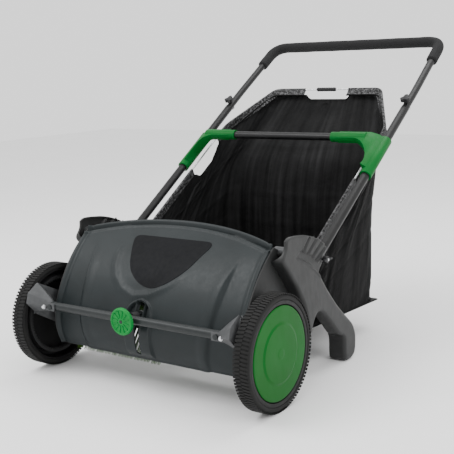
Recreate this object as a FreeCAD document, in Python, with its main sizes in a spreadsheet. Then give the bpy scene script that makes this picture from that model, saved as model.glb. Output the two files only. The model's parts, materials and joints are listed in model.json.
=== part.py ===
import FreeCAD, Part
import math
import os
import Sketcher

# Push lawn sweeper.  Front is -Y, the handle rises towards +Y, +Z is up.
# Everything is laid out from the wheel axle line (Y = 0, Z = wheel radius) and moved at the
# end so that the origin is under the middle of the whole machine.

Vector = FreeCAD.Vector
Rotation = FreeCAD.Rotation
Placement = FreeCAD.Placement
X_AXIS = Vector(1, 0, 0)
Y_AXIS = Vector(0, 1, 0)
Z_AXIS = Vector(0, 0, 1)

SIZES = (
    # wheels
    ("wheel_radius", 127.0), ("tyre_inner_x", 302.0), ("tyre_width", 36.0), ("tyre_depth", 14.0),
    ("tyre_shoulder", 6.0), ("rim_wall", 4.0), ("rim_lip", 9.0), ("web_x", 326.0), ("web_wall", 4.0),
    ("hub_radius", 17.0), ("hub_inner_x", 299.5), ("disc_radius", 101.6), ("disc_wall", 3.0),
    ("disc_x", 334.0), ("disc_step_radius", 66.0), ("disc_step", 2.5), ("axle_radius", 6.0),
    ("axle_clip_radius", 11.0), ("axle_clip_width", 2.5), ("fit", 0.05),
    # drive
    ("gear_module", 2.5), ("ring_teeth", 70.0), ("pinion_teeth", 14.0), ("gear_x", 308.0),
    ("gear_width", 14.0), ("ring_back", 6.0),
    # brush
    ("brush_radius", 104.0), ("brush_length", 520.0), ("shaft_radius", 6.0), ("holder_radius", 22.0),
    ("bristle_thickness", 5.0), ("bristle_rows", 4.0), ("left_row_angle", 230.0), ("row_offset", 45.0),
    ("bushing_radius", 11.0), ("bushing_flange", 16.0), ("flange_width", 3.0),
    # hood
    ("hood_half_width", 270.0), ("hood_wall", 3.0), ("hood_low_radius", 119.0), ("hood_low_y", 70.0),
    ("hood_low_z", 130.0), ("hood_high_radius", 328.0), ("hood_turn_angle", 160.0),
    ("hood_bottom_angle", 210.5), ("rim_side_y", 84.0), ("rim_middle_y", 133.0), ("plate_wall", 4.0),
    ("pad_radius", 127.0), ("pad_half_width", 38.0), ("pad_bottom_z", 78.0), ("pad_top_z", 206.0),
    ("slot_width", 14.0), ("slot_bottom_z", 84.0), ("slot_top_z", 200.0), ("slot_x", -8.0),
    # height adjustment
    ("bar_y", -80.0), ("bar_z", 174.0), ("bar_radius", 10.0), ("bar_half_length", 250.0),
    ("bar_wall", 1.5), ("arm_x", 293.5), ("arm_wall", 4.0), ("knob_radius", 30.5),
    ("knob_width", 10.5), ("height_bolt_radius", 4.0), ("knob_front_y", -107.0),
    # brackets
    ("bracket_outer_x", 306.0), ("arch_radius", 180.0), ("foot_inner_x", 262.0), ("foot_front_y", 343.0),
    ("foot_rear_y", 404.0), ("bracket_wall", 4.0),
    # handle
    ("handle_angle", 32.8), ("tube_foot_y", 195.0), ("tube_foot_z", 244.1), ("tube_x", 286.5),
    ("lower_radius", 11.0), ("upper_radius", 10.0), ("tube_wall", 1.5), ("joint_run", 640.0),
    ("spigot_length", 50.0), ("handle_run", 961.0), ("grip_half_width", 279.5), ("corner_radius", 42.0),
    ("foam_radius", 15.5), ("foam_start", 860.0), ("clamp_start", 357.0), ("clamp_end", 498.0),
    ("clamp_radius", 15.5), ("crossbar_run", 468.7), ("crossbar_rise", 31.9), ("crossbar_radius", 10.0),
    ("socket_radius", 13.5), ("socket_inner_x", 153.0), ("knob_run", 655.0), ("bolt_radius", 3.0),
    ("handle_knob_radius", 14.0), ("handle_knob_width", 14.0), ("wing_run", 60.0),
    # bag
    ("wire_radius", 2.0), ("wire_drop", 8.0), ("wire_side_x", 257.0), ("wire_rear_x", 173.0),
    ("wire_front_run", 62.0), ("wire_turn_run", 563.0), ("wire_rear_run", 741.0), ("wire_bend", 22.0),
    ("bag_wall", 2.0), ("bag_floor_wall", 4.0), ("floor_lip", 12.0), ("grip_length", 62.0),
    ("grip_radius", 6.0), ("hand_gap", 68.0), ("hand_gap_depth", 20.0),
)

doc = FreeCAD.newDocument("LawnSweeper")
sheet = doc.addObject("Spreadsheet::Sheet", "Sizes")
for row, (alias, value) in enumerate(SIZES, start=1):
    sheet.set("A%d" % row, alias)
    sheet.set("B%d" % row, str(value))
    sheet.setAlias("B%d" % row, alias)
doc.recompute()


class Size(float):
    """A length that remembers the sheet formula it came from."""

    def __new__(cls, value, text):
        made = float.__new__(cls, value)
        made.text = text
        return made

    def joined(self, sign, other, value, turned=False):
        other_text = other.text if isinstance(other, Size) else repr(float(other))
        pair = (other_text, self.text) if turned else (self.text, other_text)
        return Size(value, "(%s %s %s)" % (pair[0], sign, pair[1]))

    def __add__(self, other):
        return self.joined("+", other, float(self) + float(other))

    def __radd__(self, other):
        return self.joined("+", other, float(other) + float(self), True)

    def __sub__(self, other):
        return self.joined("-", other, float(self) - float(other))

    def __rsub__(self, other):
        return self.joined("-", other, float(other) - float(self), True)

    def __mul__(self, other):
        return self.joined("*", other, float(self) * float(other))

    def __rmul__(self, other):
        return self.joined("*", other, float(other) * float(self), True)

    def __truediv__(self, other):
        return self.joined("/", other, float(self) / float(other))

    def __neg__(self):
        return Size(-float(self), "(0 - %s)" % self.text)


class Sheet:
    """The driving dimensions by name."""


S = Sheet()
for alias, value in SIZES:
    setattr(S, alias, Size(float(sheet.get(alias)), "Sizes." + alias))

pieces = []


def finish(piece, label, place=None):
    """Names a piece, sets it where it belongs and lists it."""
    piece.Label = label
    if place is not None:
        piece.Placement = place
    pieces.append(piece)
    return piece


def bind(item, name, size):
    """Sets a property and ties it to the sheet."""
    setattr(item, name, float(size))
    if isinstance(size, Size):
        item.setExpression(name, size.text)


# ---------------------------------------------------------------- sketches and bodies

def add_sketch(body, role, steps, offset=0.0):
    """A closed outline on an origin plane: points, and (middle, end) pairs for arcs."""
    sketch = body.newObject("Sketcher::SketchObject", body.Name + "_sketch")
    plane = [item for item in body.Origin.OriginFeatures if item.Role == role][0]
    sketch.AttachmentSupport = (plane, [""])
    sketch.MapMode = "FlatFace"
    sketch.AttachmentOffset = Placement(Vector(0, 0, float(offset)), Rotation())
    if isinstance(offset, Size):
        sketch.setExpression("AttachmentOffset.Base.z", offset.text)
    here = steps[0]
    corners = [here]
    for step in tuple(steps[1:]) + (steps[0],):
        start = Vector(float(here[0]), float(here[1]), 0)
        if isinstance(step[0], tuple):
            middle, here = step
            bend = Part.Arc(start, Vector(float(middle[0]), float(middle[1]), 0),
                            Vector(float(here[0]), float(here[1]), 0))
            sketch.addGeometry(bend, False)
            corners.append(None)
        else:
            here = step
            sketch.addGeometry(Part.LineSegment(start, Vector(float(here[0]), float(here[1]), 0)), False)
            corners.append(here)
    tie_corners(sketch, corners)
    return sketch


def tie_corners(sketch, corners):
    """Ties the corner at the end of each straight run to the sheet."""
    for index, corner in enumerate(corners[1:]):
        if corner is None:
            continue
        for kind, value in (("DistanceX", corner[0]), ("DistanceY", corner[1])):
            if isinstance(value, Size) and abs(float(value)) > 1e-6:
                rule = sketch.addConstraint(Sketcher.Constraint(kind, -1, 1, index, 2, float(value)))
                sketch.setExpression("Constraints[%d]" % rule, value.text)
    count = len(corners) - 1
    for index in range(count):
        follow = (index + 1) % count
        pairs = [(first, second) for first in (1, 2) for second in (1, 2)]
        first, second = min(pairs, key=lambda pair: sketch.getPoint(index, pair[0]).distanceToPoint(
            sketch.getPoint(follow, pair[1])))
        sketch.addConstraint(Sketcher.Constraint("Coincident", index, first, follow, second))


def add_circle(sketch, across, up, radius):
    """A circle in a sketch, its radius tied to the sheet."""
    number = sketch.addGeometry(Part.Circle(Vector(float(across), float(up), 0), Z_AXIS, float(radius)), False)
    rule = sketch.addConstraint(Sketcher.Constraint("Radius", number, float(radius)))
    if isinstance(radius, Size):
        sketch.setExpression("Constraints[%d]" % rule, radius.text)


def add_pad(body, sketch, length):
    pad = body.newObject("PartDesign::Pad", body.Name + "_pad")
    pad.Profile = sketch
    bind(pad, "Length", length)
    return pad


def plate(label, steps, inner_x, width, side, holes=()):
    """A flat piece in the YZ plane, with round holes (y, z, radius)."""
    body = doc.addObject("PartDesign::Body", label)
    offset = inner_x if side > 0 else -(inner_x + width)
    sketch = add_sketch(body, "YZ_Plane", steps, offset)
    for across, up, radius in holes:
        add_circle(sketch, across, up, radius)
    add_pad(body, sketch, width)
    return body


def turned(label, profile, place):
    """A round piece: its half section (x, radius) turned about the X axis."""
    body = doc.addObject("PartDesign::Body", label)
    sketch = add_sketch(body, "XY_Plane", profile)
    spin = body.newObject("PartDesign::Revolution", label + "_turn")
    spin.Profile = sketch
    spin.ReferenceAxis = (sketch, ["H_Axis"])
    spin.Angle = 360.0
    return finish(body, label, place)


def rod(label, radius, length, place, bore=None):
    """A straight round bar along its own Z axis, or a tube when it has a bore."""
    solid = doc.addObject("Part::Cylinder", label + "_rod" if bore else label)
    bind(solid, "Radius", radius)
    bind(solid, "Height", length)
    if bore is None:
        return finish(solid, label, place)
    hollow = doc.addObject("Part::Cylinder", label + "_bore")
    bind(hollow, "Radius", bore)
    bind(hollow, "Height", length)
    cut = doc.addObject("Part::Cut", label)
    cut.Base = solid
    cut.Tool = hollow
    return finish(cut, label, place)


def shaped(label, shape, place=None):
    """A piece whose form neither sketches nor primitives give."""
    item = doc.addObject("Part::Feature", label)
    item.Shape = shape
    return finish(item, label, place)


# ---------------------------------------------------------------- plain shapes

def cylinder(base, axis, radius, length):
    return Part.makeCylinder(float(radius), float(length), Vector(*base), axis)


def face_of(steps, lift):
    """A flat face from points and (middle, end) arcs; lift turns (a, b) into a place."""
    edges = []
    here = steps[0]
    for step in tuple(steps[1:]) + (steps[0],):
        if isinstance(step[0], tuple):
            edges.append(Part.Arc(lift(*here), lift(*step[0]), lift(*step[1])).toShape())
            here = step[1]
        else:
            edges.append(Part.LineSegment(lift(*here), lift(*step)).toShape())
            here = step
    return Part.Face(Part.Wire(edges))


def prism_x(steps, start, end):
    face = face_of(steps, lambda a, b: Vector(float(start), float(a), float(b)))
    return face.extrude(Vector(float(end) - float(start), 0, 0))


def prism_y(steps, start, end):
    face = face_of(steps, lambda a, b: Vector(float(a), float(start), float(b)))
    return face.extrude(Vector(0, float(end) - float(start), 0))


def prism_z(steps, start, end):
    face = face_of(steps, lambda a, b: Vector(float(a), float(b), float(start)))
    return face.extrude(Vector(0, 0, float(end) - float(start)))


def round_wire(points, radius):
    """Straight runs joined by tangent arcs of one radius."""
    edges = []
    last = points[0]
    for before, corner, after in zip(points, points[1:], points[2:]):
        back = before.sub(corner).normalize()
        ahead = after.sub(corner).normalize()
        half = math.acos(max(-1.0, min(1.0, back.dot(ahead)))) / 2
        reach = float(radius) / math.tan(half)
        first = corner.add(back.multiply(reach))
        second = corner.add(ahead.multiply(reach))
        inward = first.add(second).multiply(0.5).sub(corner)
        depth = float(radius) / math.sin(half) - float(radius)
        middle = corner.add(inward.normalize().multiply(depth))
        edges.append(Part.LineSegment(last, first).toShape())
        edges.append(Part.Arc(first, middle, second).toShape())
        last = second
    edges.append(Part.LineSegment(last, points[-1]).toShape())
    return Part.Wire(edges)


def pipe(wire, radius):
    """A round bar along a wire."""
    edge = wire.OrderedEdges[0]
    start = edge.valueAt(edge.FirstParameter)
    circle = Part.Wire(Part.Circle(start, edge.tangentAt(edge.FirstParameter), float(radius)).toShape())
    return wire.makePipeShell([circle], True, True)


def polar(centre_y, centre_z, radius, degrees):
    turn = math.radians(float(degrees))
    return (float(centre_y) + float(radius) * math.cos(turn), float(centre_z) + float(radius) * math.sin(turn))


# ---------------------------------------------------------------- places that several pieces share

AXLE_Z = S.wheel_radius
BRUSH_Y = S.gear_module * (S.ring_teeth - S.pinion_teeth) / 2
BRUSH_Z = S.wheel_radius
PLATE_OUTER_X = S.hood_half_width + S.plate_wall
RIM_RADIUS = S.wheel_radius - S.tyre_depth
TYRE_OUTER_X = S.tyre_inner_x + S.tyre_width
HANDLE_TURN = math.radians(float(S.handle_angle))
HANDLE = Placement(Vector(0, float(S.tube_foot_y), float(S.tube_foot_z)), Rotation(X_AXIS, float(S.handle_angle)))
SIDES = (("left", -1), ("right", 1))


def on_axle(side):
    """Where a turned wheel piece goes: its own +X points outwards."""
    return Placement(Vector(0, 0, float(AXLE_Z)), Rotation(Z_AXIS, 0 if side > 0 else 180))


def on_brush(side=1):
    return Placement(Vector(0, float(BRUSH_Y), float(BRUSH_Z)), Rotation(Z_AXIS, 0 if side > 0 else 180))


# ---------------------------------------------------------------- hood

turn_y = float(S.hood_low_y) - (float(S.hood_high_radius) - float(S.hood_low_radius)) * math.cos(
    math.radians(float(S.hood_turn_angle)))
turn_z = float(S.hood_low_z) - (float(S.hood_high_radius) - float(S.hood_low_radius)) * math.sin(
    math.radians(float(S.hood_turn_angle)))


def hood_arcs(inset, end_y):
    """The hood's section from its bottom edge up to end_y, set inwards by inset."""
    low = S.hood_low_radius - inset
    high = S.hood_high_radius - inset
    end_angle = math.degrees(math.acos((float(end_y) - turn_y) / float(high)))
    bottom = polar(S.hood_low_y, S.hood_low_z, low, S.hood_bottom_angle)
    low_middle = polar(S.hood_low_y, S.hood_low_z, low, (S.hood_bottom_angle + S.hood_turn_angle) / 2)
    turn = polar(S.hood_low_y, S.hood_low_z, low, S.hood_turn_angle)
    high_middle = polar(turn_y, turn_z, high, (float(S.hood_turn_angle) + end_angle) / 2)
    top = polar(turn_y, turn_z, high, end_angle)
    return bottom, low_middle, turn, high_middle, top


def ring_sector(radius, depth, start, end):
    """A band about the brush axis, in the YZ plane."""
    middle = (float(start) + float(end)) / 2
    inner = float(radius) - float(depth)
    return (polar(BRUSH_Y, BRUSH_Z, radius, start),
            (polar(BRUSH_Y, BRUSH_Z, radius, middle), polar(BRUSH_Y, BRUSH_Z, radius, end)),
            polar(BRUSH_Y, BRUSH_Z, inner, end),
            (polar(BRUSH_Y, BRUSH_Z, inner, middle), polar(BRUSH_Y, BRUSH_Z, inner, start)))


def arch(half_width, bottom, top, corner):
    """An upright shape with a round top and a softened foot, seen from the front."""
    return ((-half_width, bottom + corner), ((-half_width + corner * 0.29, bottom + corner * 0.29),
                                             (-half_width + corner, bottom)),
            (half_width - corner, bottom), ((half_width - corner * 0.29, bottom + corner * 0.29),
                                            (half_width, bottom + corner)),
            (half_width, top - half_width), ((0.0, top), (-half_width, top - half_width)))


def make_hood():
    rear = S.rim_middle_y + 4
    outer = hood_arcs(0.0, rear)
    inner = hood_arcs(S.hood_wall, rear)
    shell = prism_x((outer[0], (outer[1], outer[2]), (outer[3], outer[4]), inner[4], (inner[3], inner[2]),
                     (inner[1], inner[0])), -S.hood_half_width, S.hood_half_width)
    wide = S.hood_half_width + 5
    behind = prism_z(((-wide, S.rim_side_y), ((0.0, S.rim_middle_y), (wide, S.rim_side_y)), (wide, rear + 50),
                      (-wide, rear + 50)), S.hood_low_z, S.hood_low_z + 400)
    shell = shell.cut(behind)
    swept = S.hood_wall * 5
    pad = prism_x(ring_sector(S.pad_radius, swept, 138, 209), -S.pad_half_width, S.pad_half_width)
    pad = pad.common(prism_y(arch(float(S.pad_half_width), float(S.pad_bottom_z), float(S.pad_top_z), 10.0),
                             -S.wheel_radius, S.hood_low_y))
    hollow_width = S.pad_half_width - S.hood_wall
    hollow = prism_x(ring_sector(S.pad_radius - S.hood_wall, swept + 20, 134, 213), -hollow_width, hollow_width)
    hollow = hollow.common(prism_y(arch(float(hollow_width), float(S.pad_bottom_z + S.hood_wall),
                                        float(S.pad_top_z - S.hood_wall), 8.0), -S.wheel_radius, S.hood_low_y))
    to_slot = Vector(float(S.slot_x), 0, 0)
    pad.translate(to_slot)
    hollow.translate(to_slot)
    half = float(S.slot_width) / 2
    slot = prism_y(((-half, S.slot_bottom_z + half), ((0.0, float(S.slot_bottom_z)), (half, S.slot_bottom_z + half)),
                    (half, S.slot_top_z - half), ((0.0, float(S.slot_top_z)), (-half, S.slot_top_z - half))),
                   -S.wheel_radius, 0)
    slot.translate(to_slot)
    return shell.fuse(pad).cut(hollow).cut(slot)


shaped("hood_shell", make_hood())

outer_arcs = hood_arcs(0.0, S.rim_side_y)
tie_y = BRUSH_Y + S.brush_radius + 14
tie_z = BRUSH_Z - 60
plate_outline = (outer_arcs[0], (outer_arcs[1], outer_arcs[2]), (outer_arcs[3], outer_arcs[4]),
                 (S.rim_side_y + 60, S.hood_low_z + 175), (tie_y + 18, S.hood_low_z + 110),
                 (tie_y + 18, tie_z - 12), (tie_y - 16, tie_z - 32), (BRUSH_Y - 50, BRUSH_Z - 82))

for name, side in SIDES:
    finish(plate("end_plate_" + name, plate_outline, S.hood_half_width, S.plate_wall, side,
                 ((BRUSH_Y, BRUSH_Z, S.bushing_radius + S.fit),)), "end_plate_" + name)
    turned("brush_bushing_" + name,
           ((S.hood_half_width - S.flange_width, S.shaft_radius + S.fit),
            (S.arm_x + S.arm_wall + 1.0, S.shaft_radius + S.fit),
            (S.arm_x + S.arm_wall + 1.0, S.bushing_radius),
            (S.hood_half_width, S.bushing_radius),
            (S.hood_half_width, S.bushing_flange),
            (S.hood_half_width - S.flange_width, S.bushing_flange)), on_brush(side))

rod("rear_tie_rod", 5.0, S.hood_half_width * 2,
    Placement(Vector(-float(S.hood_half_width), float(tie_y), float(tie_z)), Rotation(Y_AXIS, 90)))

# ---------------------------------------------------------------- side brackets

wing_y = S.tube_foot_y + S.wing_run * math.cos(HANDLE_TURN)
wing_z = S.tube_foot_z + S.wing_run * math.sin(HANDLE_TURN)
arch_tip = polar(0, AXLE_Z, S.arch_radius, -2.5)
arch_middle = polar(0, AXLE_Z, S.arch_radius, 28)
arch_front = polar(0, AXLE_Z, S.arch_radius, 58.5)
heel = 24.0
toe = 16.0
heel_turn = (S.foot_rear_y - heel * (1 - math.sqrt(0.5)), heel * (1 - math.sqrt(0.5)))
toe_turn = (S.foot_front_y + toe * (1 - math.sqrt(0.5)), toe * (1 - math.sqrt(0.5)))
foot_outline = (
    (S.foot_rear_y - 11, S.wheel_radius - 49),
    ((S.foot_rear_y - 2, heel + 26.0), (S.foot_rear_y, heel)),
    (heel_turn, (S.foot_rear_y - heel, 0.0)), (S.foot_front_y + toe, 0.0),
    (toe_turn, (S.foot_front_y, toe)), (S.foot_front_y, S.wheel_radius - 60))
bracket_outline = (
    (S.rim_side_y - 12, S.tube_foot_z + 53), (S.rim_side_y + 1, S.tube_foot_z + 101),
    ((S.tube_foot_y - 20, S.tube_foot_z + 104), (S.tube_foot_y + 82, S.tube_foot_z + 48)),
    (S.tube_foot_y + 24, S.tube_foot_z + 8), (S.tube_foot_y + 64, S.tube_foot_z - 31),
    (S.foot_rear_y - 63, S.wheel_radius - 2)) + foot_outline + (
    (S.foot_front_y - 26, S.wheel_radius - 51), (S.foot_front_y - 109, S.wheel_radius + 30),
    arch_tip, (arch_middle, arch_front))


wall = S.bracket_wall
leg_hollow = (
    (S.arch_radius + wall + 3, S.wheel_radius + 20), (S.arch_radius + wall - 4, S.wheel_radius + 60),
    (S.tube_foot_y - 38, S.tube_foot_z - 24), (S.tube_foot_y + 8, S.tube_foot_z - 24),
    (S.tube_foot_y + 58, S.tube_foot_z - 36), (S.foot_rear_y - 67, S.wheel_radius - 6),
    (S.foot_rear_y - 10 - wall, S.wheel_radius - 50), (S.foot_rear_y - wall, heel + 20.0),
    (S.foot_rear_y - wall, heel), (S.foot_rear_y - heel, wall), (S.foot_front_y + toe, wall),
    (S.foot_front_y + wall, toe), (S.foot_front_y + wall, S.wheel_radius - 56),
    (S.foot_front_y - 24, S.wheel_radius - 46), (S.foot_front_y - 106, S.wheel_radius + 35))
dome_hollow = (
    (S.rim_side_y + 3, S.tube_foot_z + 44), (S.rim_side_y + 8, S.tube_foot_z + 93),
    ((S.rim_side_y + 80, S.tube_foot_z + 98), (S.tube_foot_y + 40, S.tube_foot_z + 64)),
    (S.tube_foot_y - 14, S.tube_foot_z + 21))


def side_bracket(name, side):
    label = "side_bracket_" + name
    body = plate(label, bracket_outline, PLATE_OUTER_X, S.bracket_outer_x - PLATE_OUTER_X, side)
    width = PLATE_OUTER_X - S.foot_inner_x
    sketch = add_sketch(body, "YZ_Plane", foot_outline, S.foot_inner_x if side > 0 else -PLATE_OUTER_X)
    add_pad(body, sketch, width)
    doc.recompute()
    for outline in (leg_hollow, dome_hollow):
        before = body.Shape.Volume
        hollow = body.newObject("PartDesign::Pocket", label + "_hollow")
        hollow.Profile = add_sketch(body, "YZ_Plane", outline, PLATE_OUTER_X if side > 0 else -PLATE_OUTER_X)
        hollow.Reversed = side > 0
        bind(hollow, "Length", S.bracket_outer_x - PLATE_OUTER_X - S.bracket_wall)
        doc.recompute()
        if body.Shape.Volume > before - 1.0:
            raise RuntimeError(label + " was not hollowed")
    return body


for name, side in SIDES:
    bracket = side_bracket(name, side)
    tube_bore = doc.addObject("Part::Cylinder", "bracket_bore_" + name)
    bind(tube_bore, "Radius", S.lower_radius + S.fit)
    bind(tube_bore, "Height", S.joint_run)
    tube_bore.Placement = HANDLE.multiply(Placement(Vector(side * float(S.tube_x), 0, 0), Rotation(X_AXIS, -90)))
    bolt_bore = doc.addObject("Part::Cylinder", "bracket_bolt_bore_" + name)
    bind(bolt_bore, "Radius", S.bolt_radius + S.fit)
    bind(bolt_bore, "Height", S.bracket_outer_x - PLATE_OUTER_X + 20)
    start_x = float(PLATE_OUTER_X) - 10 if side > 0 else -float(S.bracket_outer_x) - 10
    bolt_bore.Placement = Placement(Vector(start_x, float(wing_y), float(wing_z)), Rotation(Y_AXIS, 90))
    bores = doc.addObject("Part::Fuse", "bracket_bores_" + name)
    bores.Base = tube_bore
    bores.Tool = bolt_bore
    cut = doc.addObject("Part::Cut", "side_bracket_" + name + "_bored")
    cut.Base = bracket
    cut.Tool = bores
    bracket.Label = "bracket_blank_" + name
    finish(cut, "side_bracket_" + name)
    turned("bracket_bolt_" + name,
           ((PLATE_OUTER_X, 0.0), (PLATE_OUTER_X, S.bolt_radius), (S.bracket_outer_x + 12, S.bolt_radius),
            (S.bracket_outer_x + 12, 0.0)),
           Placement(Vector(0, float(wing_y), float(wing_z)), Rotation(Z_AXIS, 0 if side > 0 else 180)))


def wing_nut(side):
    start = float(S.bracket_outer_x) + 0.3
    hub = cylinder((start, 0, 0), X_AXIS, 8.0, 9.0)
    wings = Part.makeBox(7.0, 36.0, 4.0, Vector(start + 5.0, -18.0, -2.0))
    nut = hub.fuse(wings).cut(cylinder((start - 1, 0, 0), X_AXIS, S.bolt_radius + S.fit, 20.0))
    return nut


for name, side in SIDES:
    shaped("wing_nut_" + name, wing_nut(side),
           Placement(Vector(0, float(wing_y), float(wing_z)), Rotation(Z_AXIS, 0 if side > 0 else 180)))

# ---------------------------------------------------------------- height adjustment bail


TAB_FRONT = float(S.bar_y) - float(S.bar_radius) - 3.2
TAB_WALL = 3.0
TAB_START = float(S.bar_half_length) - 22
TAB_LENGTH = 44.0
SCREW_X = TAB_START + 12


def arm_side_plate():
    """The flat part of the arm that carries the axle and turns about the brush line, for the right side."""
    inner = float(S.arm_x)
    outer = inner + float(S.arm_wall)
    top = (float(S.bar_y) + 4, float(S.bar_z) + 49)
    low = (float(S.bar_y) - 12, float(S.bar_z) - 2)
    foot = (float(S.bar_y) - 6, float(S.bar_z) - 25)
    axle_low = polar(0, AXLE_Z, 24, 250)
    brush_low = polar(BRUSH_Y, BRUSH_Z, 22, 265)
    brush_end = polar(BRUSH_Y, BRUSH_Z, 22, 0)
    brush_top = polar(BRUSH_Y, BRUSH_Z, 22, 80)
    return prism_x((top, low, foot, axle_low, brush_low, (brush_end, brush_top)), inner, outer)


def arm_gusset():
    """The tab under the bar's end and the web that widens from it to the side plate."""
    inner = float(S.arm_x) + float(S.arm_wall)
    bar_z = float(S.bar_z)
    back = float(S.bar_y)
    tab = Part.makeBox(TAB_LENGTH, TAB_WALL, 18.0, Vector(TAB_START, TAB_FRONT, bar_z - 9))
    root = TAB_START + TAB_LENGTH - 6
    corners = ((root, TAB_FRONT, bar_z - 10), (inner, back - 13, bar_z - 24), (inner, back - 3, bar_z + 47),
               (root, TAB_FRONT, bar_z + 12))
    near = [Vector(*corner) for corner in corners]
    far = [corner.add(Vector(0, TAB_WALL, 0)) for corner in near]
    faces = []
    for ring in (near, far):
        faces.append(Part.Face(Part.makePolygon([ring[0], ring[1], ring[2], ring[0]])))
        faces.append(Part.Face(Part.makePolygon([ring[0], ring[2], ring[3], ring[0]])))
    for index in range(4):
        after = (index + 1) % 4
        faces.append(Part.Face(Part.makePolygon([near[index], near[after], far[after], far[index], near[index]])))
    web = Part.makeSolid(Part.makeShell(faces))
    return tab.fuse(web)


def make_arm(side):
    arm = arm_side_plate().fuse(arm_gusset())
    hole_start = float(S.arm_x) - 40
    arm = arm.cut(cylinder((hole_start, 0, float(AXLE_Z)), X_AXIS, S.axle_radius + S.fit, 80))
    arm = arm.cut(cylinder((hole_start, float(BRUSH_Y), float(BRUSH_Z)), X_AXIS, S.bushing_radius + S.fit, 80))
    arm = arm.cut(cylinder((SCREW_X, TAB_FRONT - 5, float(S.bar_z)), Y_AXIS, S.bolt_radius + S.fit, 12))
    arm = arm.removeSplitter()
    return arm if side > 0 else arm.mirror(Vector(0, 0, 0), X_AXIS)


def make_arm_screw(side):
    head_width = 3.0
    place = (side * SCREW_X, TAB_FRONT - head_width, float(S.bar_z))
    reach = 2 * (float(S.bar_y) - place[1]) - head_width
    return cylinder(place, Y_AXIS, 6.0, head_width).fuse(cylinder(place, Y_AXIS, S.bolt_radius, reach))


def make_bar():
    half = float(S.bar_half_length)
    bar = cylinder((-half, float(S.bar_y), float(S.bar_z)), X_AXIS, S.bar_radius, 2 * half)
    bar = bar.cut(cylinder((-half - 1, float(S.bar_y), float(S.bar_z)), X_AXIS, S.bar_radius - S.bar_wall, 2 * half + 2))
    across = 4 * float(S.bar_radius)
    start = float(S.bar_y) - across / 2
    bar = bar.cut(cylinder((float(S.slot_x), start, float(S.bar_z)), Y_AXIS, S.height_bolt_radius + S.fit, across))
    for name, side in SIDES:
        bar = bar.cut(cylinder((side * SCREW_X, start, float(S.bar_z)), Y_AXIS, S.bolt_radius + S.fit, across))
    return bar


shaped("front_bar", make_bar())
for name, side in SIDES:
    shaped("arm_" + name, make_arm(side))
    shaped("arm_screw_" + name, make_arm_screw(side))
    clip_x = S.web_x + S.web_wall + 1.5
    turned("stub_axle_" + name,
           ((S.arm_x - 4, 0.0), (S.arm_x - 4, S.axle_radius + 5), (S.arm_x, S.axle_radius + 5),
            (S.arm_x, S.axle_radius), (clip_x + S.axle_clip_width + 1, S.axle_radius),
            (clip_x + S.axle_clip_width + 1, 0.0)), on_axle(side))
    turned("axle_clip_" + name,
           ((clip_x, S.axle_radius + S.fit), (clip_x + S.axle_clip_width, S.axle_radius + S.fit),
            (clip_x + S.axle_clip_width, S.axle_clip_radius), (clip_x, S.axle_clip_radius)), on_axle(side))


def along_y(front_y):
    """Places a turned piece with its own +X pointing to the rear, in line with the height slot."""
    return Placement(Vector(float(S.slot_x), float(front_y), float(S.bar_z)), Rotation(Z_AXIS, 90))


BOLT_RISE = float(S.bar_z) - float(BRUSH_Z)
SPACER_RADIUS = 11.0
BOLT_HEAD_RADIUS = 10.0
pad_front_y = BRUSH_Y - math.sqrt(float(S.pad_radius) ** 2 - (BOLT_RISE - SPACER_RADIUS) ** 2)
pad_back_y = BRUSH_Y - math.sqrt(float(S.pad_radius - S.hood_wall) ** 2 - (BOLT_RISE + BOLT_HEAD_RADIUS) ** 2)
bolt_length = pad_back_y + 5.5 - S.knob_front_y
turned("height_bolt",
       ((1.0, 0.0), (1.0, S.height_bolt_radius), (bolt_length - 5, S.height_bolt_radius),
        (bolt_length - 5, BOLT_HEAD_RADIUS), (bolt_length, BOLT_HEAD_RADIUS), (bolt_length, 0.0)),
       along_y(S.knob_front_y))
spacer_start = S.bar_y + S.bar_radius + 0.2 - S.knob_front_y
spacer_end = pad_front_y - 0.5 - S.knob_front_y
turned("height_spacer",
       ((spacer_start, S.height_bolt_radius + S.fit), (spacer_end, S.height_bolt_radius + S.fit),
        (spacer_end, SPACER_RADIUS), (spacer_start, SPACER_RADIUS)), along_y(S.knob_front_y))
knob_back = S.bar_y - S.bar_radius - 0.5 - S.knob_front_y
turned("height_knob",
       ((0.0, S.height_bolt_radius + S.fit), (0.0, S.knob_radius - 2), (1.5, S.knob_radius),
        (S.knob_width, S.knob_radius), (S.knob_width, 14.0), (knob_back, 12.0),
        (knob_back, S.height_bolt_radius + S.fit)), along_y(S.knob_front_y))

# ---------------------------------------------------------------- wheels

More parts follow.
